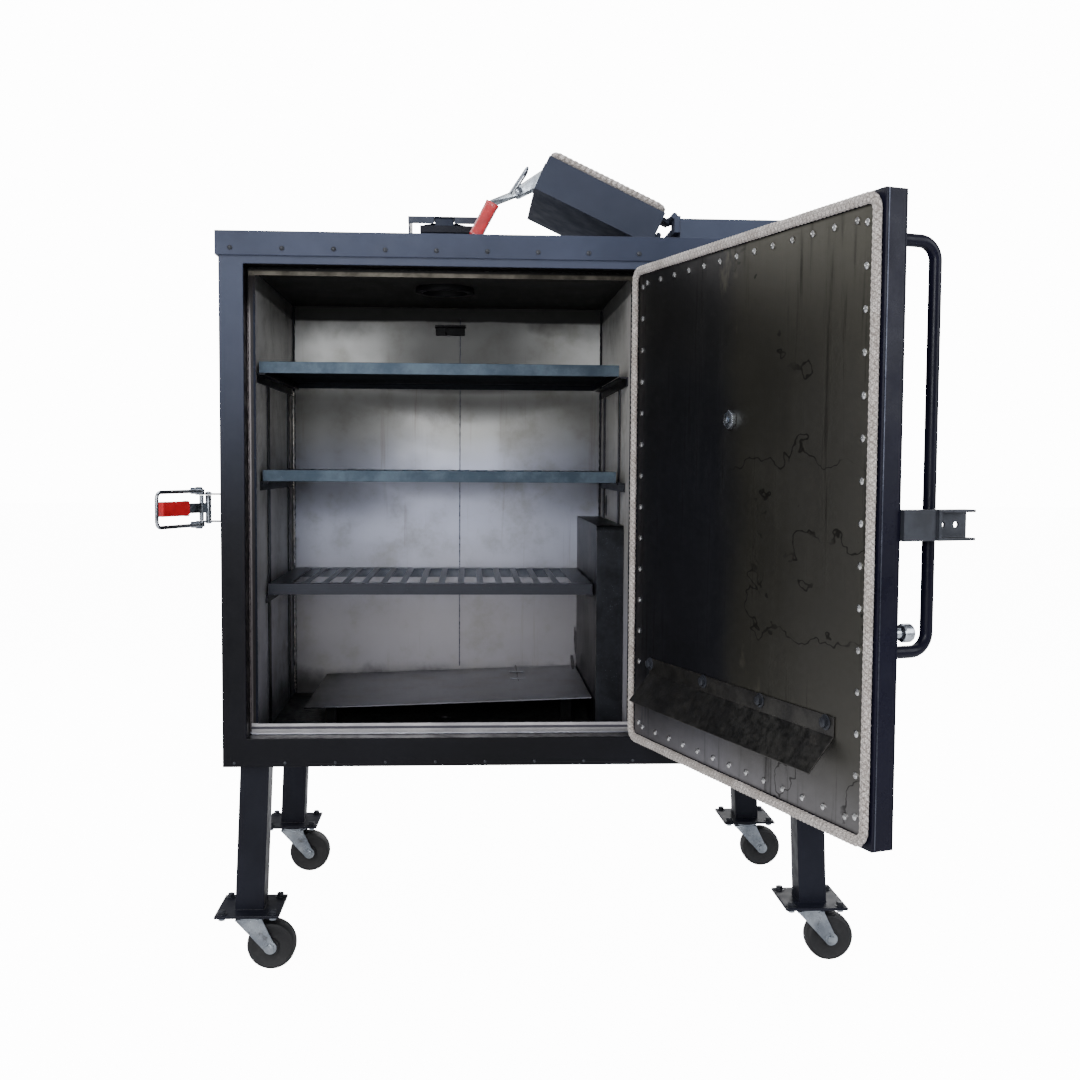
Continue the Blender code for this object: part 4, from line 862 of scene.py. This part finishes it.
BROKEN_EDGES = {  # bevel widths of sheet and plate parts
    "front_frame": 0.0012,
    "roof_cap": 0.0025,
    "left_side_panel": 0.0006,
    "right_side_panel": 0.0006,
    "door_pan": 0.0016,
    "chute_lid": 0.0018,
    "charcoal_chute": 0.0012,
    "firebox_door": 0.0015,
    "exhaust_flap": 0.0010,
    "exhaust_pipe": 0.0008,
    "door_strike": 0.0006,
    "door_drip_lip": 0.0004,
    "rack_upper": 0.0005,
    "rack_middle": 0.0005,
    "rack_lower": 0.0005,
}
for name in nodes:
    usual = 0.0012 if name.startswith("leg_") else 0.0005 if name.endswith("_fork") else 0
    width = BROKEN_EDGES.get(name, usual)
    if not width:
        continue
    node = nodes[name]
    weld = node.modifiers.new("weld", "WELD")
    weld.merge_threshold = 0.00005
    flat = node.modifiers.new("flat", "DECIMATE")
    flat.decimate_type, flat.angle_limit = "DISSOLVE", math.radians(0.5)
    bevel = node.modifiers.new("edge", "BEVEL")
    bevel.width, bevel.segments, bevel.limit_method = width, 2, "ANGLE"
    bevel.angle_limit, bevel.use_clamp_overlap = math.radians(40), True

# ------------------------------------------------------------------ the cabinet's fasteners and seams
PITCH = 0.1016
cap_low, cap_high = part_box("roof_cap")
BOLT_Z, SILL_Z = 1.483, 0.4505
heads = [(at(-0.473 + PITCH * k, 0, BOLT_Z), (0, -1, 0)) for k in range(13)]
heads = [(Vector((p.x, cap_low.y, p.z)), d) for p, d in heads if p.x < cap_high.x - 0.01]
heads += [(Vector((p.x, cap_high.y, p.z)), (0, 1, 0)) for p, d in list(heads)]
for k in range(8):
    y = cap_low.y + 0.028 + PITCH * k
    if y < cap_high.y - 0.01:
        heads += [(Vector((cap_low.x, y, BOLT_Z)), (-1, 0, 0)), (Vector((cap_high.x, y, BOLT_Z)), (1, 0, 0))]
place(copies(domed_head(0.0095, 0.0034), heads), "roof_cap_bolts", "cabinet", BLACK_BOLT, "coat")

screws = [(at(-0.474 + PITCH * k, 0, SILL_Z), (0, -1, 0)) for k in range(13)]
right_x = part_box("right_side_panel")[1].x
back_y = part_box("back_panel")[1].y
for k in range(7):
    y = FACE_Y + 0.085 + PITCH * k
    screws += [(Vector((EDGE_X, y, SILL_Z)), (-1, 0, 0)), (Vector((right_x, y, SILL_Z)), (1, 0, 0))]
for k in range(10):
    z = 0.50 + PITCH * k
    if z < 1.45:
        screws += [(at(x, 0, z) + Vector((0, back_y - FACE_Y, 0)), (0, 1, 0)) for x in (-0.480, 0.760)]
screws += [(at(-0.474 + PITCH * k, back_y - FACE_Y, SILL_Z), (0, 1, 0)) for k in range(13)]
place(copies(domed_head(0.0062, 0.0022, 12), screws), "panel_screws", "cabinet", BLACK_BOLT, "coat")


def bead(route, width, closed=False, rough=0.30):
    """A hand-run weld: an uneven rounded bead."""
    jitter = [[1 + rough * (draw.random() - 0.5) for _ in range(8)] for _ in range(len(route))]

    def swell(k, c):
        return jitter[k][c] * (1 + 0.13 * math.sin(k * 1.9))

    piece = swept(route, oval(width, width, 8), closed, swell)
    smooth(piece, 70)
    return piece


# Bead between the door frame and the bright flange, deep in the rebate.
rebate = rounded_loop(
    (at(-0.4478, 0, 0).x, 0.5015), (at(0.3458, 0, 0).x, 1.4524), 0.006, at(0, 0.0412, 0).y, step=0.004
)
place(bead(rebate, 0.0034, True, 0.6), "flange_weld", "cabinet", FLANGE_WELD, "bright")

# The chamber's own seams: the liner's corners, a joint in the back sheet, and the ring round the exhaust.
left_x, right_x, wall_y = at(-0.4345, 0, 0).x, at(0.329, 0, 0).x, at(0, 0.6055, 0).y


def upright(x, y, low, high, step=0.006):
    count = int((high - low) / step)
    return [Vector((x, y, low + (high - low) * k / count)) for k in range(count + 1)]


corner_beads = [
    bead(upright(left_x, wall_y, 0.487, 1.443), 0.006),
    bead(upright(right_x, wall_y, 0.487, 1.443), 0.006),
]
place(joined(corner_beads), "liner_corner_welds", "cabinet", RAIL_STEEL, "dark")
sheet_joint = bead(upright(at(-0.0235, 0, 0).x, wall_y + 0.0008, 0.55, 1.42), 0.0022)
place(sheet_joint, "back_wall_seam", "cabinet", SLATE_SEAM_AND_HIGHLIGHT, "bright")
strip = slab(at(-0.4335, 0.578, 0.487), at(-0.4310, 0.5955, 1.2350), 0.0004)
place(strip, "corner_cover_strip", "cabinet", BRIGHT_STEEL, "bright")

ring = circle(at(-0.055, 0.255, 1.4410), 0.0575, 72)
place(bead(ring, 0.0055, True), "exhaust_weld", "cabinet", STACK_COAT, "dark")

# The flap's folded front edge, in front of its hinge, and the strip that shields the pipe's rim.
flap_top = FLAP_HINGE.z + 0.004
lips = []
for left, right in ((-0.077, -0.022), (0.022, 0.077)):
    low = FLAP_HINGE + Vector((left, -0.0095, -0.0095))
    lips.append(slab(low, (FLAP_HINGE.x + right, FLAP_HINGE.y - 0.0065, flap_top + 0.0015)))
wrap_low = FLAP_HINGE + Vector((-0.077, -0.0090, 0.0041))
lips.append(slab(wrap_low, FLAP_HINGE + Vector((0.077, 0.0120, 0.0055)), 0.0004))
fold = swung(joined(lips), FLAP_HINGE, FLAP_TURN, "X")
place(fold, "exhaust_flap_fold", "flap", LID_COAT, "coat")
shield = slab(at(-0.1065, 0.1788, 1.5530), at(0.0165, 0.1808, 1.5678))
place(shield, "exhaust_shield", "cabinet", COAT, "coat")

# Cross rods under the upper rack's bars.
rack_low, rack_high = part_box("rack_upper")
rods = []
for k in range(16):
    y = rack_low.y + 0.030 + 0.030 * k
    bpy.ops.mesh.primitive_cylinder_add(
        vertices=12,
        radius=0.0025,
        depth=rack_high.x - rack_low.x - 0.006,
        location=((rack_low.x + rack_high.x) / 2, y, rack_high.z - 0.0092),
        rotation=(0, math.pi / 2, 0),
    )
    rod = bpy.context.object
    settle(rod)
    rods.append(rod)
place(joined(rods), "upper_rack_rods", "upper_rack", RACK_TOP, "rack")

# A stub bracket under the ceiling, burnt black.
bracket = joined(
    [
        slab(at(-0.0850, 0.5760, 1.3960), at(-0.0100, 0.6060, 1.4010)),
        slab(at(-0.0840, 0.6010, 1.3775), at(-0.0120, 0.6062, 1.4000)),
        slab(at(-0.0640, 0.5800, 1.3800), at(-0.0590, 0.6050, 1.3990)),
    ]
)
place(bracket, "rear_bracket", "cabinet", STACK_COAT, "plate")

# Soot and grease marks that stand a little off the duct and the right wall.
duct_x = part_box("heat_duct")[0].x


def grease(spot, direction, width, height, seed):
    """A thin baked-on patch with a ragged outline."""
    rng = random.Random(seed)
    rim = [0.75 + 0.25 * rng.random() for _ in range(20)]
    points = [Vector((0, 0, 0.0009))]
    for k in range(20):
        turn = 2 * math.pi * k / 20
        across, along = width / 2 * rim[k] * math.cos(turn), height / 2 * rim[k] * math.sin(turn)
        points.append(Vector((across, along, 0.0002)))
    faces = [(0, 1 + k, 1 + (k + 1) % 20) for k in range(20)]
    points.append(Vector((0, 0, -0.0004)))
    faces += [(21, 1 + (k + 1) % 20, 1 + k) for k in range(20)]
    piece = from_points(points, faces, Matrix.Translation(spot) @ facing(direction))
    smooth(piece, 60)
    return piece


wall_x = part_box("liner_right_wall")[0].x
marks = [
    grease(Vector((wall_x - 0.0003, at(0, 0.470, 0).y, 0.962)), (-1, 0, 0), 0.050, 0.060, 3),
    grease(Vector((duct_x - 0.0004, at(0, 0.420, 0).y, 0.640)), (-1, 0, 0), 0.090, 0.075, 4),
    grease(Vector((duct_x - 0.0004, at(0, 0.500, 0).y, 0.575)), (-1, 0, 0), 0.130, 0.040, 5),
]
place(joined(marks), "grease_marks", "cabinet", SOOTED, "plate")

# Tabs and a weld along the drip plate's joint.
plate_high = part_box("drip_plate")[1]
plate_slope = math.tan(math.radians(1.9))


def on_plate(x, y):
    return at(x, y, 0) + Vector((0, 0, plate_high.z - (plate_high.y - at(0, y, 0).y) * plate_slope))


JOINT_X = 0.118
tabs = []
for y in (0.215, 0.285, 0.365, 0.445, 0.525):
    spot = on_plate(JOINT_X, y)
    tabs.append(slab(spot + Vector((-0.018, -0.009, -0.0005)), spot + Vector((0.018, 0.009, 0.0016)), 0.0005))
place(joined(tabs), "drip_plate_tabs", "cabinet", DRIP_STEEL, "dark")
seam = [on_plate(JOINT_X, 0.175 + 0.006 * k) + Vector((0, 0, 0.0006)) for k in range(71)]
place(bead(seam, 0.0026, rough=0.5), "drip_plate_seam", "cabinet", RAIL_STEEL, "dark")

# ------------------------------------------------------------------ casters
SWIVEL_BACK, BOLT_OUT, PLATE_THICK = 0.042, 0.052, 0.006
RACE = [(0.001, -0.0035), (0.0335, -0.0035), (0.035, -0.001)]
RACE += [(0.035, 0.0012), (0.0325, 0.0035), (0.001, 0.0035)]
bolts, nuts = [], []
for end in ("front", "back"):
    for side in ("left", "right"):
        name = f"caster_{end}_{side}"
        fork_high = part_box(f"{name}_fork")[1]
        wheel_low, wheel_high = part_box(f"{name}_wheel")
        middle = (wheel_low + wheel_high) / 2
        swivel_x = middle.x - SWIVEL_BACK
        plate_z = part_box(f"leg_{end}_{side}")[0].z
        for sx in (-1, 1):
            for sy in (-1, 1):
                spot = Vector((swivel_x + sx * BOLT_OUT, middle.y + sy * BOLT_OUT, plate_z))
                bolts.append((spot + Vector((0, 0, PLATE_THICK)), (0, 0, 1)))
                nuts.append((spot, (0, 0, -1)))
        half = (wheel_high.y - wheel_low.y) / 2
        radius = (wheel_high.z - wheel_low.z) / 2
        outline = [
            (0.0062, -half),
            (0.0165, -half),
            (0.0175, -half + 0.0012),
            (0.0185, -half + 0.0045),
            (0.0300, -half + 0.0050),
            (0.0385, -half + 0.0020),
            (radius - 0.0070, -half + 0.0008),
            (radius - 0.0030, -half + 0.0030),
            (radius - 0.0008, -half + 0.0080),
            (radius, -half + 0.0140),
        ]
        outline += [(r, -h) for r, h in reversed(outline)]
        outline.append(outline[0])
        tyre = turned(outline, middle, (0, 1, 0), 56)
        smooth(tyre, 35)
        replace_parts(place(tyre, f"{name}_tyre", f"{name}_roll", RUBBER, "wheel"), f"{name}_wheel")
        hub = []
        for sign in (-1, 1):
            end_y = middle.y + sign * (half + 0.0058)
            hub.append(stand(hex_bolt(0.019, 0.006), (middle.x, end_y, middle.z), (0, sign, 0)))
        race = turned(RACE, Vector((swivel_x, middle.y, fork_high.z - 0.0115)), (0, 0, 1), 48)
        smooth(race, 40)
        hub.append(race)
        place(joined(hub), f"{name}_axle_and_race", f"{name}_swivel", ZINC, "zinc")
place(copies(hex_bolt(0.0155, 0.0075), bolts), "caster_plate_bolts", "cabinet", BLACK_BOLT, "plate")
place(copies(hex_bolt(0.0150, 0.0060), nuts), "caster_plate_nuts", "cabinet", ZINC, "zinc")


# ------------------------------------------------------------------ dipped grips and latch hardware
def sleeve(start, end, side, width, thick):
    """A rounded sleeve from start to end, wide across side, with a full round tip."""
    start, end, side = Vector(start), Vector(end), Vector(side).normalized()
    way = (end - start).normalized()
    top = way.cross(side).normalized()
    span = (end - start).length
    points, corners, steps = [], 24, 26
    for k in range(steps + 1):
        share = k / steps
        along = share * span
        tip = max(0.0, along - (span - thick * 0.3)) / (thick * 0.3)
        shrink = max(0.0, 1 - min(tip, 1) ** 3) ** 0.5 if tip else 1.0
        lip = 1.04 if share < 0.05 else 1.0
        waist = 1 - 0.02 * math.sin(math.pi * share)
        for c in range(corners):
            turn = 2 * math.pi * c / corners
            cx, cy = math.cos(turn), math.sin(turn)
            sx = math.copysign(abs(cx) ** 0.36, cx) * width / 2
            sy = math.copysign(abs(cy) ** 0.36, cy) * thick / 2
            grow = max(shrink, 0.02) * lip * waist
            points.append(start + way * along + side * sx * grow + top * sy * grow)
    piece = from_points(points, tube_faces(steps + 1, corners))
    smooth(piece, 50)
    return piece


latch_pin = at(-0.530, 0.045, 0.9675)
forward = Vector((-math.cos(math.radians(60)), -math.sin(math.radians(60)), 0))
side_grip = sleeve(latch_pin + 0.064 * forward, latch_pin + 0.139 * forward, (0, 0, 1), 0.030, 0.0178)
place(side_grip, "side_latch_grip", "side_lever", RED, "zinc")

lid_pin = at(0.7493, 0.165, 1.6756)
elbow = lid_pin + 0.058 * Vector((0.680, 0, 0.733)).normalized()
bend = Vector((0.05, 0, 0.999)).normalized()
lid_grip = turn_lid(sleeve(elbow + 0.001 * bend, elbow + 0.086 * bend, (0, 1, 0), 0.0205, 0.0285))
place(lid_grip, "lid_latch_grip", "lid_lever", RED, "zinc")


def refined(node, name, body, paint, slot, edge=0.0004):
    """The solid node's own shape with its doubles merged, its edges broken and its round faces smooth."""
    piece = nodes[node].copy()
    piece.data = nodes[node].data.copy()
    piece.parent = None
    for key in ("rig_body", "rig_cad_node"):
        if key in piece:
            del piece[key]
    for modifier in list(piece.modifiers):
        piece.modifiers.remove(modifier)
    bpy.context.scene.collection.objects.link(piece)
    edit(piece)
    bpy.ops.mesh.select_all(action="SELECT")
    bpy.ops.mesh.remove_doubles(threshold=0.00005)
    bpy.ops.mesh.dissolve_limited(angle_limit=math.radians(0.5))
    done()
    if edge:
        soften(piece, edge, angle=40)
    smooth(piece)
    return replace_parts(place(piece, name, body, paint, slot), node)


refined("door_latch_hook", "side_latch_loop", "side_hook", CHROME, "zinc", 0)
refined("door_latch_lever", "side_latch_lever", "side_lever", ZINC, "zinc")
refined("door_latch_bracket", "side_latch_bracket", "cabinet", ZINC, "zinc", 0.0006)
refined("chute_latch_hook", "lid_latch_loop", "lid_hook", CHROME, "zinc", 0)
refined("chute_latch_lever", "lid_latch_lever", "lid_lever", ZINC, "zinc")
refined("chute_latch_bracket", "lid_latch_bracket", "lid", ZINC, "zinc", 0.0005)
refined("probe_port", "probe_port_nut", "door", CHROME, "zinc", 0.0003)
refined("exhaust_pipe", "exhaust_stack", "cabinet", STACK_COAT, "coat", 0.0006)
for end in ("front", "back"):
    for side in ("left", "right"):
        name = f"caster_{end}_{side}"
        refined(f"{name}_fork", f"{name}_yoke", f"{name}_swivel", ZINC, "zinc", 0.0005)

# Pivot rivets, bolts and nuts of the two latches.
pins = [(latch_pin + Vector((0, 0, sign * 0.0292)), (0, 0, sign)) for sign in (-1, 1)]
place(copies(domed_head(0.013, 0.004), pins), "side_latch_pin_heads", "cabinet", CHROME, "zinc")
plate_bolts = []
for dy in (0.022, 0.063):
    for dz in (-0.027, 0.027):
        plate_bolts.append((at(-0.5008, 0.045 + dy, 0.9675 + dz), (-1, 0, 0)))
place(copies(hex_bolt(0.0105, 0.0042), plate_bolts), "side_latch_bolts", "cabinet", ZINC, "zinc")
hook_low, hook_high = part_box("door_latch_hook")
collars = []
for level in (hook_high.z - 0.0035, hook_low.z + 0.0035):
    spot = Vector((hook_high.x - 0.012, hook_high.y - 0.004, level))
    for start, reach, width in ((-0.016, 0.009, 0.0135), (-0.006, 0.012, 0.0165)):
        collars.append(stand(hex_bolt(width, reach, False), spot + Vector((start, 0, 0)), (1, 0, 0)))
place(joined(collars), "side_latch_collars", "side_hook", NUT_STEEL, "zinc")
hinge_bolt = [(Vector((LID_HINGE.x, at(0, 0.178, 0).y, LID_HINGE.z)), (0, -1, 0))]
place(copies(domed_head(0.018, 0.005), hinge_bolt), "lid_hinge_bolt", "cabinet", NUT_STEEL, "zinc")
lid_heads = [(lid_pin + Vector((0, s * 0.0212, 0)), (0, s, 0)) for s in (-1, 1)]
place(turn_lid(copies(domed_head(0.0165, 0.0042), lid_heads)), "lid_latch_pin_heads", "lid", CHROME, "zinc")

# ------------------------------------------------------------------ ropes
rope_low, rope_high = shut_box("door_gasket")
rope_half = 0.0085
rope_route = rounded_loop(
    (rope_low.x + rope_half, rope_low.z + rope_half),
    (rope_high.x - rope_half, rope_high.z - rope_half),
    0.020,
    (rope_low.y + rope_high.y) / 2,
)
rope = turn_door(braided(rope_route, 0.0185, rope_high.y - rope_low.y))
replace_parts(place(rope, "door_rope_seal", "door", ROPE, "rope"), "door_gasket")

lid_corner, far_corner = at(0.4598, 0.1168, 0), at(0.7102, 0.4212, 0)
lid_route = rounded_loop(lid_corner[:2], far_corner[:2], 0.016, 1.5804, "XY")
lid_rope = turn_lid(braided(lid_route, 0.0170, 0.0180, corners=22, strands=4, pitch=0.024))
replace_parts(place(lid_rope, "lid_rope_seal", "lid", ROPE, "rope"), "chute_lid_gasket")
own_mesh(lid_rope)

# ------------------------------------------------------------------ the door
sheet_low, sheet_high = shut_box("door_inner_panel")
inner_y = sheet_high.y
inset = 0.018
rivets = []
for k in range(13):
    x = sheet_low.x + 0.042 + (sheet_high.x - sheet_low.x - 0.078) * k / 12
    rivets += [(Vector((x, inner_y, z)), (0, 1, 0)) for z in (sheet_high.z - inset, sheet_low.z + inset)]
for k in range(15):
    z = sheet_low.z + 0.024 + (sheet_high.z - sheet_low.z - 0.048) * k / 14
    rivets += [(Vector((x, inner_y, z)), (0, 1, 0)) for x in (sheet_low.x + inset, sheet_high.x - inset)]
place(turn_door(copies(domed_head(0.0108, 0.0038), rivets)), "door_sheet_rivets", "door", RIVET, "bright")


def land_on(node, start, way):
    """Where a straight line from start along way meets the node."""
    hit, spot, _, _ = nodes[node].ray_cast(Vector(start), Vector(way).normalized())
    return spot if hit else None


swing = Matrix.Rotation(DOOR_TURN, 3, "Z")
outward = swing @ Vector((0, 1, 0))
lip_heads = []
for s in (0.698, 0.487, 0.2975, 0.112):
    start = swing @ (Vector((DOOR_LEFT + s, inner_y + 0.2, 0.673)) - DOOR_HINGE) + DOOR_HINGE
    spot = land_on("door_drip_lip", start, -outward) or land_on("door_inner_panel", start, -outward)
    if spot:
        lip_heads.append((spot, outward))
place(copies(hex_bolt(0.017, 0.007), lip_heads), "drip_lip_bolts", "door", BLACK_BOLT, "plate")


def edge_strip(x0, x1, y0, y1, edge):
    """A strip down the door's free edge, measured from that edge and the cabinet's face."""
    return slab((DOOR_LEFT + x0, FACE_Y + y0, 0.506), (DOOR_LEFT + x1, FACE_Y + y1, 1.448), edge)


# Painted highlight: a pale slate line along the seam on the door's free edge.
seam_strip = edge_strip(-0.0007, 0.0004, 0.0225, 0.0245, 0.0002)
place(turn_door(seam_strip), "door_edge_seam_painted_highlight", "door", SLATE_SEAM_AND_HIGHLIGHT, "coat")
folded_lip = [
    edge_strip(-0.0006, 0.0003, -0.0070, -0.0058, 0.0002),
    edge_strip(0.004, 0.0046, 0.0286, 0.0289, 0),
]
place(turn_door(joined(folded_lip)), "door_edge_fold", "door", DOOR_COAT, "coat")

# The handle: one round bar with two bends, welded to the face.
HANDLE_X, HANDLE_TOP, HANDLE_FOOT, REACH, BEND = DOOR_LEFT + 0.040, 1.387, 0.786, 0.082, 0.028
face = SHUT_FACE - 0.0003


def bent(centre_y, centre_z, start):
    """A quarter turn of the handle's bar, from pointing out of the door to running down it, or back."""
    turns = [math.radians(start + 7.5 * k) for k in range(13)]
    return [Vector((HANDLE_X, centre_y + BEND * math.cos(t), centre_z + BEND * math.sin(t))) for t in turns]


def upright_bar(path, radius, corners):
    """A round bar along a path that stays in one upright plane."""
    points = []
    for k, spot in enumerate(path):
        way = (path[min(k + 1, len(path) - 1)] - path[max(k - 1, 0)]).normalized()
        side = Vector((1, 0, 0))
        top = way.cross(side).normalized()
        for c in range(corners):
            turn = 2 * math.pi * c / corners
            points.append(spot + side * radius * math.cos(turn) + top * radius * math.sin(turn))
    piece = from_points(points, tube_faces(len(path), corners))
    smooth(piece, 50)
    return piece


bar_y = face - REACH + BEND
route = [Vector((HANDLE_X, face - 0.0002, HANDLE_TOP)), Vector((HANDLE_X, face - 0.03, HANDLE_TOP))]
route += bent(bar_y, HANDLE_TOP - BEND, 90)
route += [Vector((HANDLE_X, face - REACH, z)) for z in (1.25, 1.09, 0.93)]
route += bent(bar_y, HANDLE_FOOT + BEND, 180)
route += [Vector((HANDLE_X, face - 0.03, HANDLE_FOOT)), Vector((HANDLE_X, face - 0.0002, HANDLE_FOOT))]
handle = turn_door(upright_bar(route, 0.0095, 24))
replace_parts(place(handle, "door_pull_bar", "door", DOOR_COAT, "coat"), "door_handle")
foot_beads = []
for z in (HANDLE_TOP, HANDLE_FOOT):
    foot_beads.append(bead(circle((HANDLE_X, face - 0.0012, z), 0.0102, 28, (0, 0, 1)), 0.0045, True))
place(turn_door(joined(foot_beads)), "door_pull_welds", "door", COAT, "coat")

dial_x, dial_z = DOOR_LEFT + 0.018, 0.818
neck = [(0.001, 0), (0.0075, 0), (0.0075, 0.016), (0.0125, 0.0185), (0.0138, 0.0205)]
rim = [(0.0138, 0.0330), (0.0126, 0.0350), (0.0108, 0.0356), (0.0100, 0.0348), (0.001, 0.0348)]
knob = turned(neck + rim, (dial_x, face, dial_z), (0, -1, 0), 60)
smooth(knob, 30)
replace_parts(place(turn_door(knob), "door_thermometer_boss", "door", CHROME, "bright"), "side_dial")

# ------------------------------------------------------------------ stage, light and camera
SEEN_FLOOR, SEEN_SKY, SKY_LIGHT = 13.0, 14.0, 0.40
bpy.ops.mesh.primitive_plane_add(size=60, location=(0, 0, 0))
floor = bpy.context.object
floor.name = "studio_floor"
floor_finish = Finish("studio_floor", gloss=0.6)
floor_finish.colour((0.86, 0.86, 0.87))
path = floor_finish.tree.nodes.new("ShaderNodeLightPath")
seen_floor = Field(floor_finish, path.outputs["Is Camera Ray"])
floor_finish.feed(floor_finish.shader.inputs["Emission Color"], seen_floor)
floor_finish.shader.inputs["Emission Strength"].default_value = SEEN_FLOOR
floor.data.materials.append(floor_finish.material)
floor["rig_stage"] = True

world = bpy.data.worlds.new("studio")
bpy.context.scene.world = world
world.use_nodes = True
sky = world.node_tree
background = next(n for n in sky.nodes if n.type == "BACKGROUND")
background.inputs[0].default_value = (0.93, 0.95, 1.0, 1)
background.inputs[1].default_value = SKY_LIGHT
seen = sky.nodes.new("ShaderNodeBackground")
seen.inputs[0].default_value = (1, 1, 1, 1)
seen.inputs[1].default_value = SEEN_SKY
ray = sky.nodes.new("ShaderNodeLightPath")
blend = sky.nodes.new("ShaderNodeMixShader")
output = next(n for n in sky.nodes if n.type == "OUTPUT_WORLD")
sky.links.new(ray.outputs["Is Camera Ray"], blend.inputs[0])
sky.links.new(background.outputs[0], blend.inputs[1])
sky.links.new(seen.outputs[0], blend.inputs[2])
sky.links.new(blend.outputs[0], output.inputs[0])


def lamp(name, spot, target, size, power, tint=(1, 1, 1)):
    light = bpy.data.lights.new(name, "AREA")
    light.shape, light.size, light.size_y = "RECTANGLE", size[0], size[1]
    light.energy, light.color = power, tint
    holder = bpy.data.objects.new(name, light)
    bpy.context.scene.collection.objects.link(holder)
    holder.location = spot
    holder.rotation_mode = "QUATERNION"
    holder.rotation_quaternion = (Vector(target) - Vector(spot)).to_track_quat("-Z", "Y")


lamp("key", (-2.6, -3.6, 3.4), (0, 0.2, 0.9), (2.2, 2.2), 150, (1.0, 0.98, 0.96))
lamp("front_fill", (-0.5, -3.4, 1.45), at(-0.05, 0.4, 0.95), (0.9, 0.9), 46, (0.93, 0.96, 1.0))
lamp("right_fill", (3.4, -2.2, 2.2), (0.2, 0, 0.9), (1.8, 2.4), 70, (0.92, 0.95, 1.0))
lamp("top", (0, 0.3, 4.4), (0, 0.3, 1.0), (3.0, 3.0), 90, (0.90, 0.93, 1.0))
lamp("back_rim", (1.6, 4.0, 2.8), (0, 0.4, 1.0), (2.4, 2.0), 90)
lamp("back_left", (-3.4, 3.0, 2.0), (0, 0.4, 0.9), (2.0, 2.0), 60)

yaw, pitch, roll = 0.0572, 0.0607, 0.0064
ahead = Vector((math.sin(yaw) * math.cos(pitch), math.cos(yaw) * math.cos(pitch), -math.sin(pitch)))
right = Vector((math.cos(yaw), -math.sin(yaw), 0))
above = right.cross(ahead)
tilted_right = right * math.cos(roll) + above * math.sin(roll)
tilted_above = above * math.cos(roll) - right * math.sin(roll)
camera_data = bpy.data.cameras.new("camera")
SENSOR, FOCAL, FRAME_SIDE = 36, 1240.72, 1080
camera_data.lens, camera_data.sensor_width = SENSOR * FOCAL / FRAME_SIDE, SENSOR
camera = bpy.data.objects.new("camera", camera_data)
bpy.context.scene.collection.objects.link(camera)
aim = Matrix((tilted_right, tilted_above, -ahead)).transposed().to_4x4()
camera.matrix_world = Matrix.Translation(at(0, -2.515, 1.0592)) @ aim
camera_data.clip_start, camera_data.clip_end = 0.05, 200
bpy.context.scene.camera = camera

low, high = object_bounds()
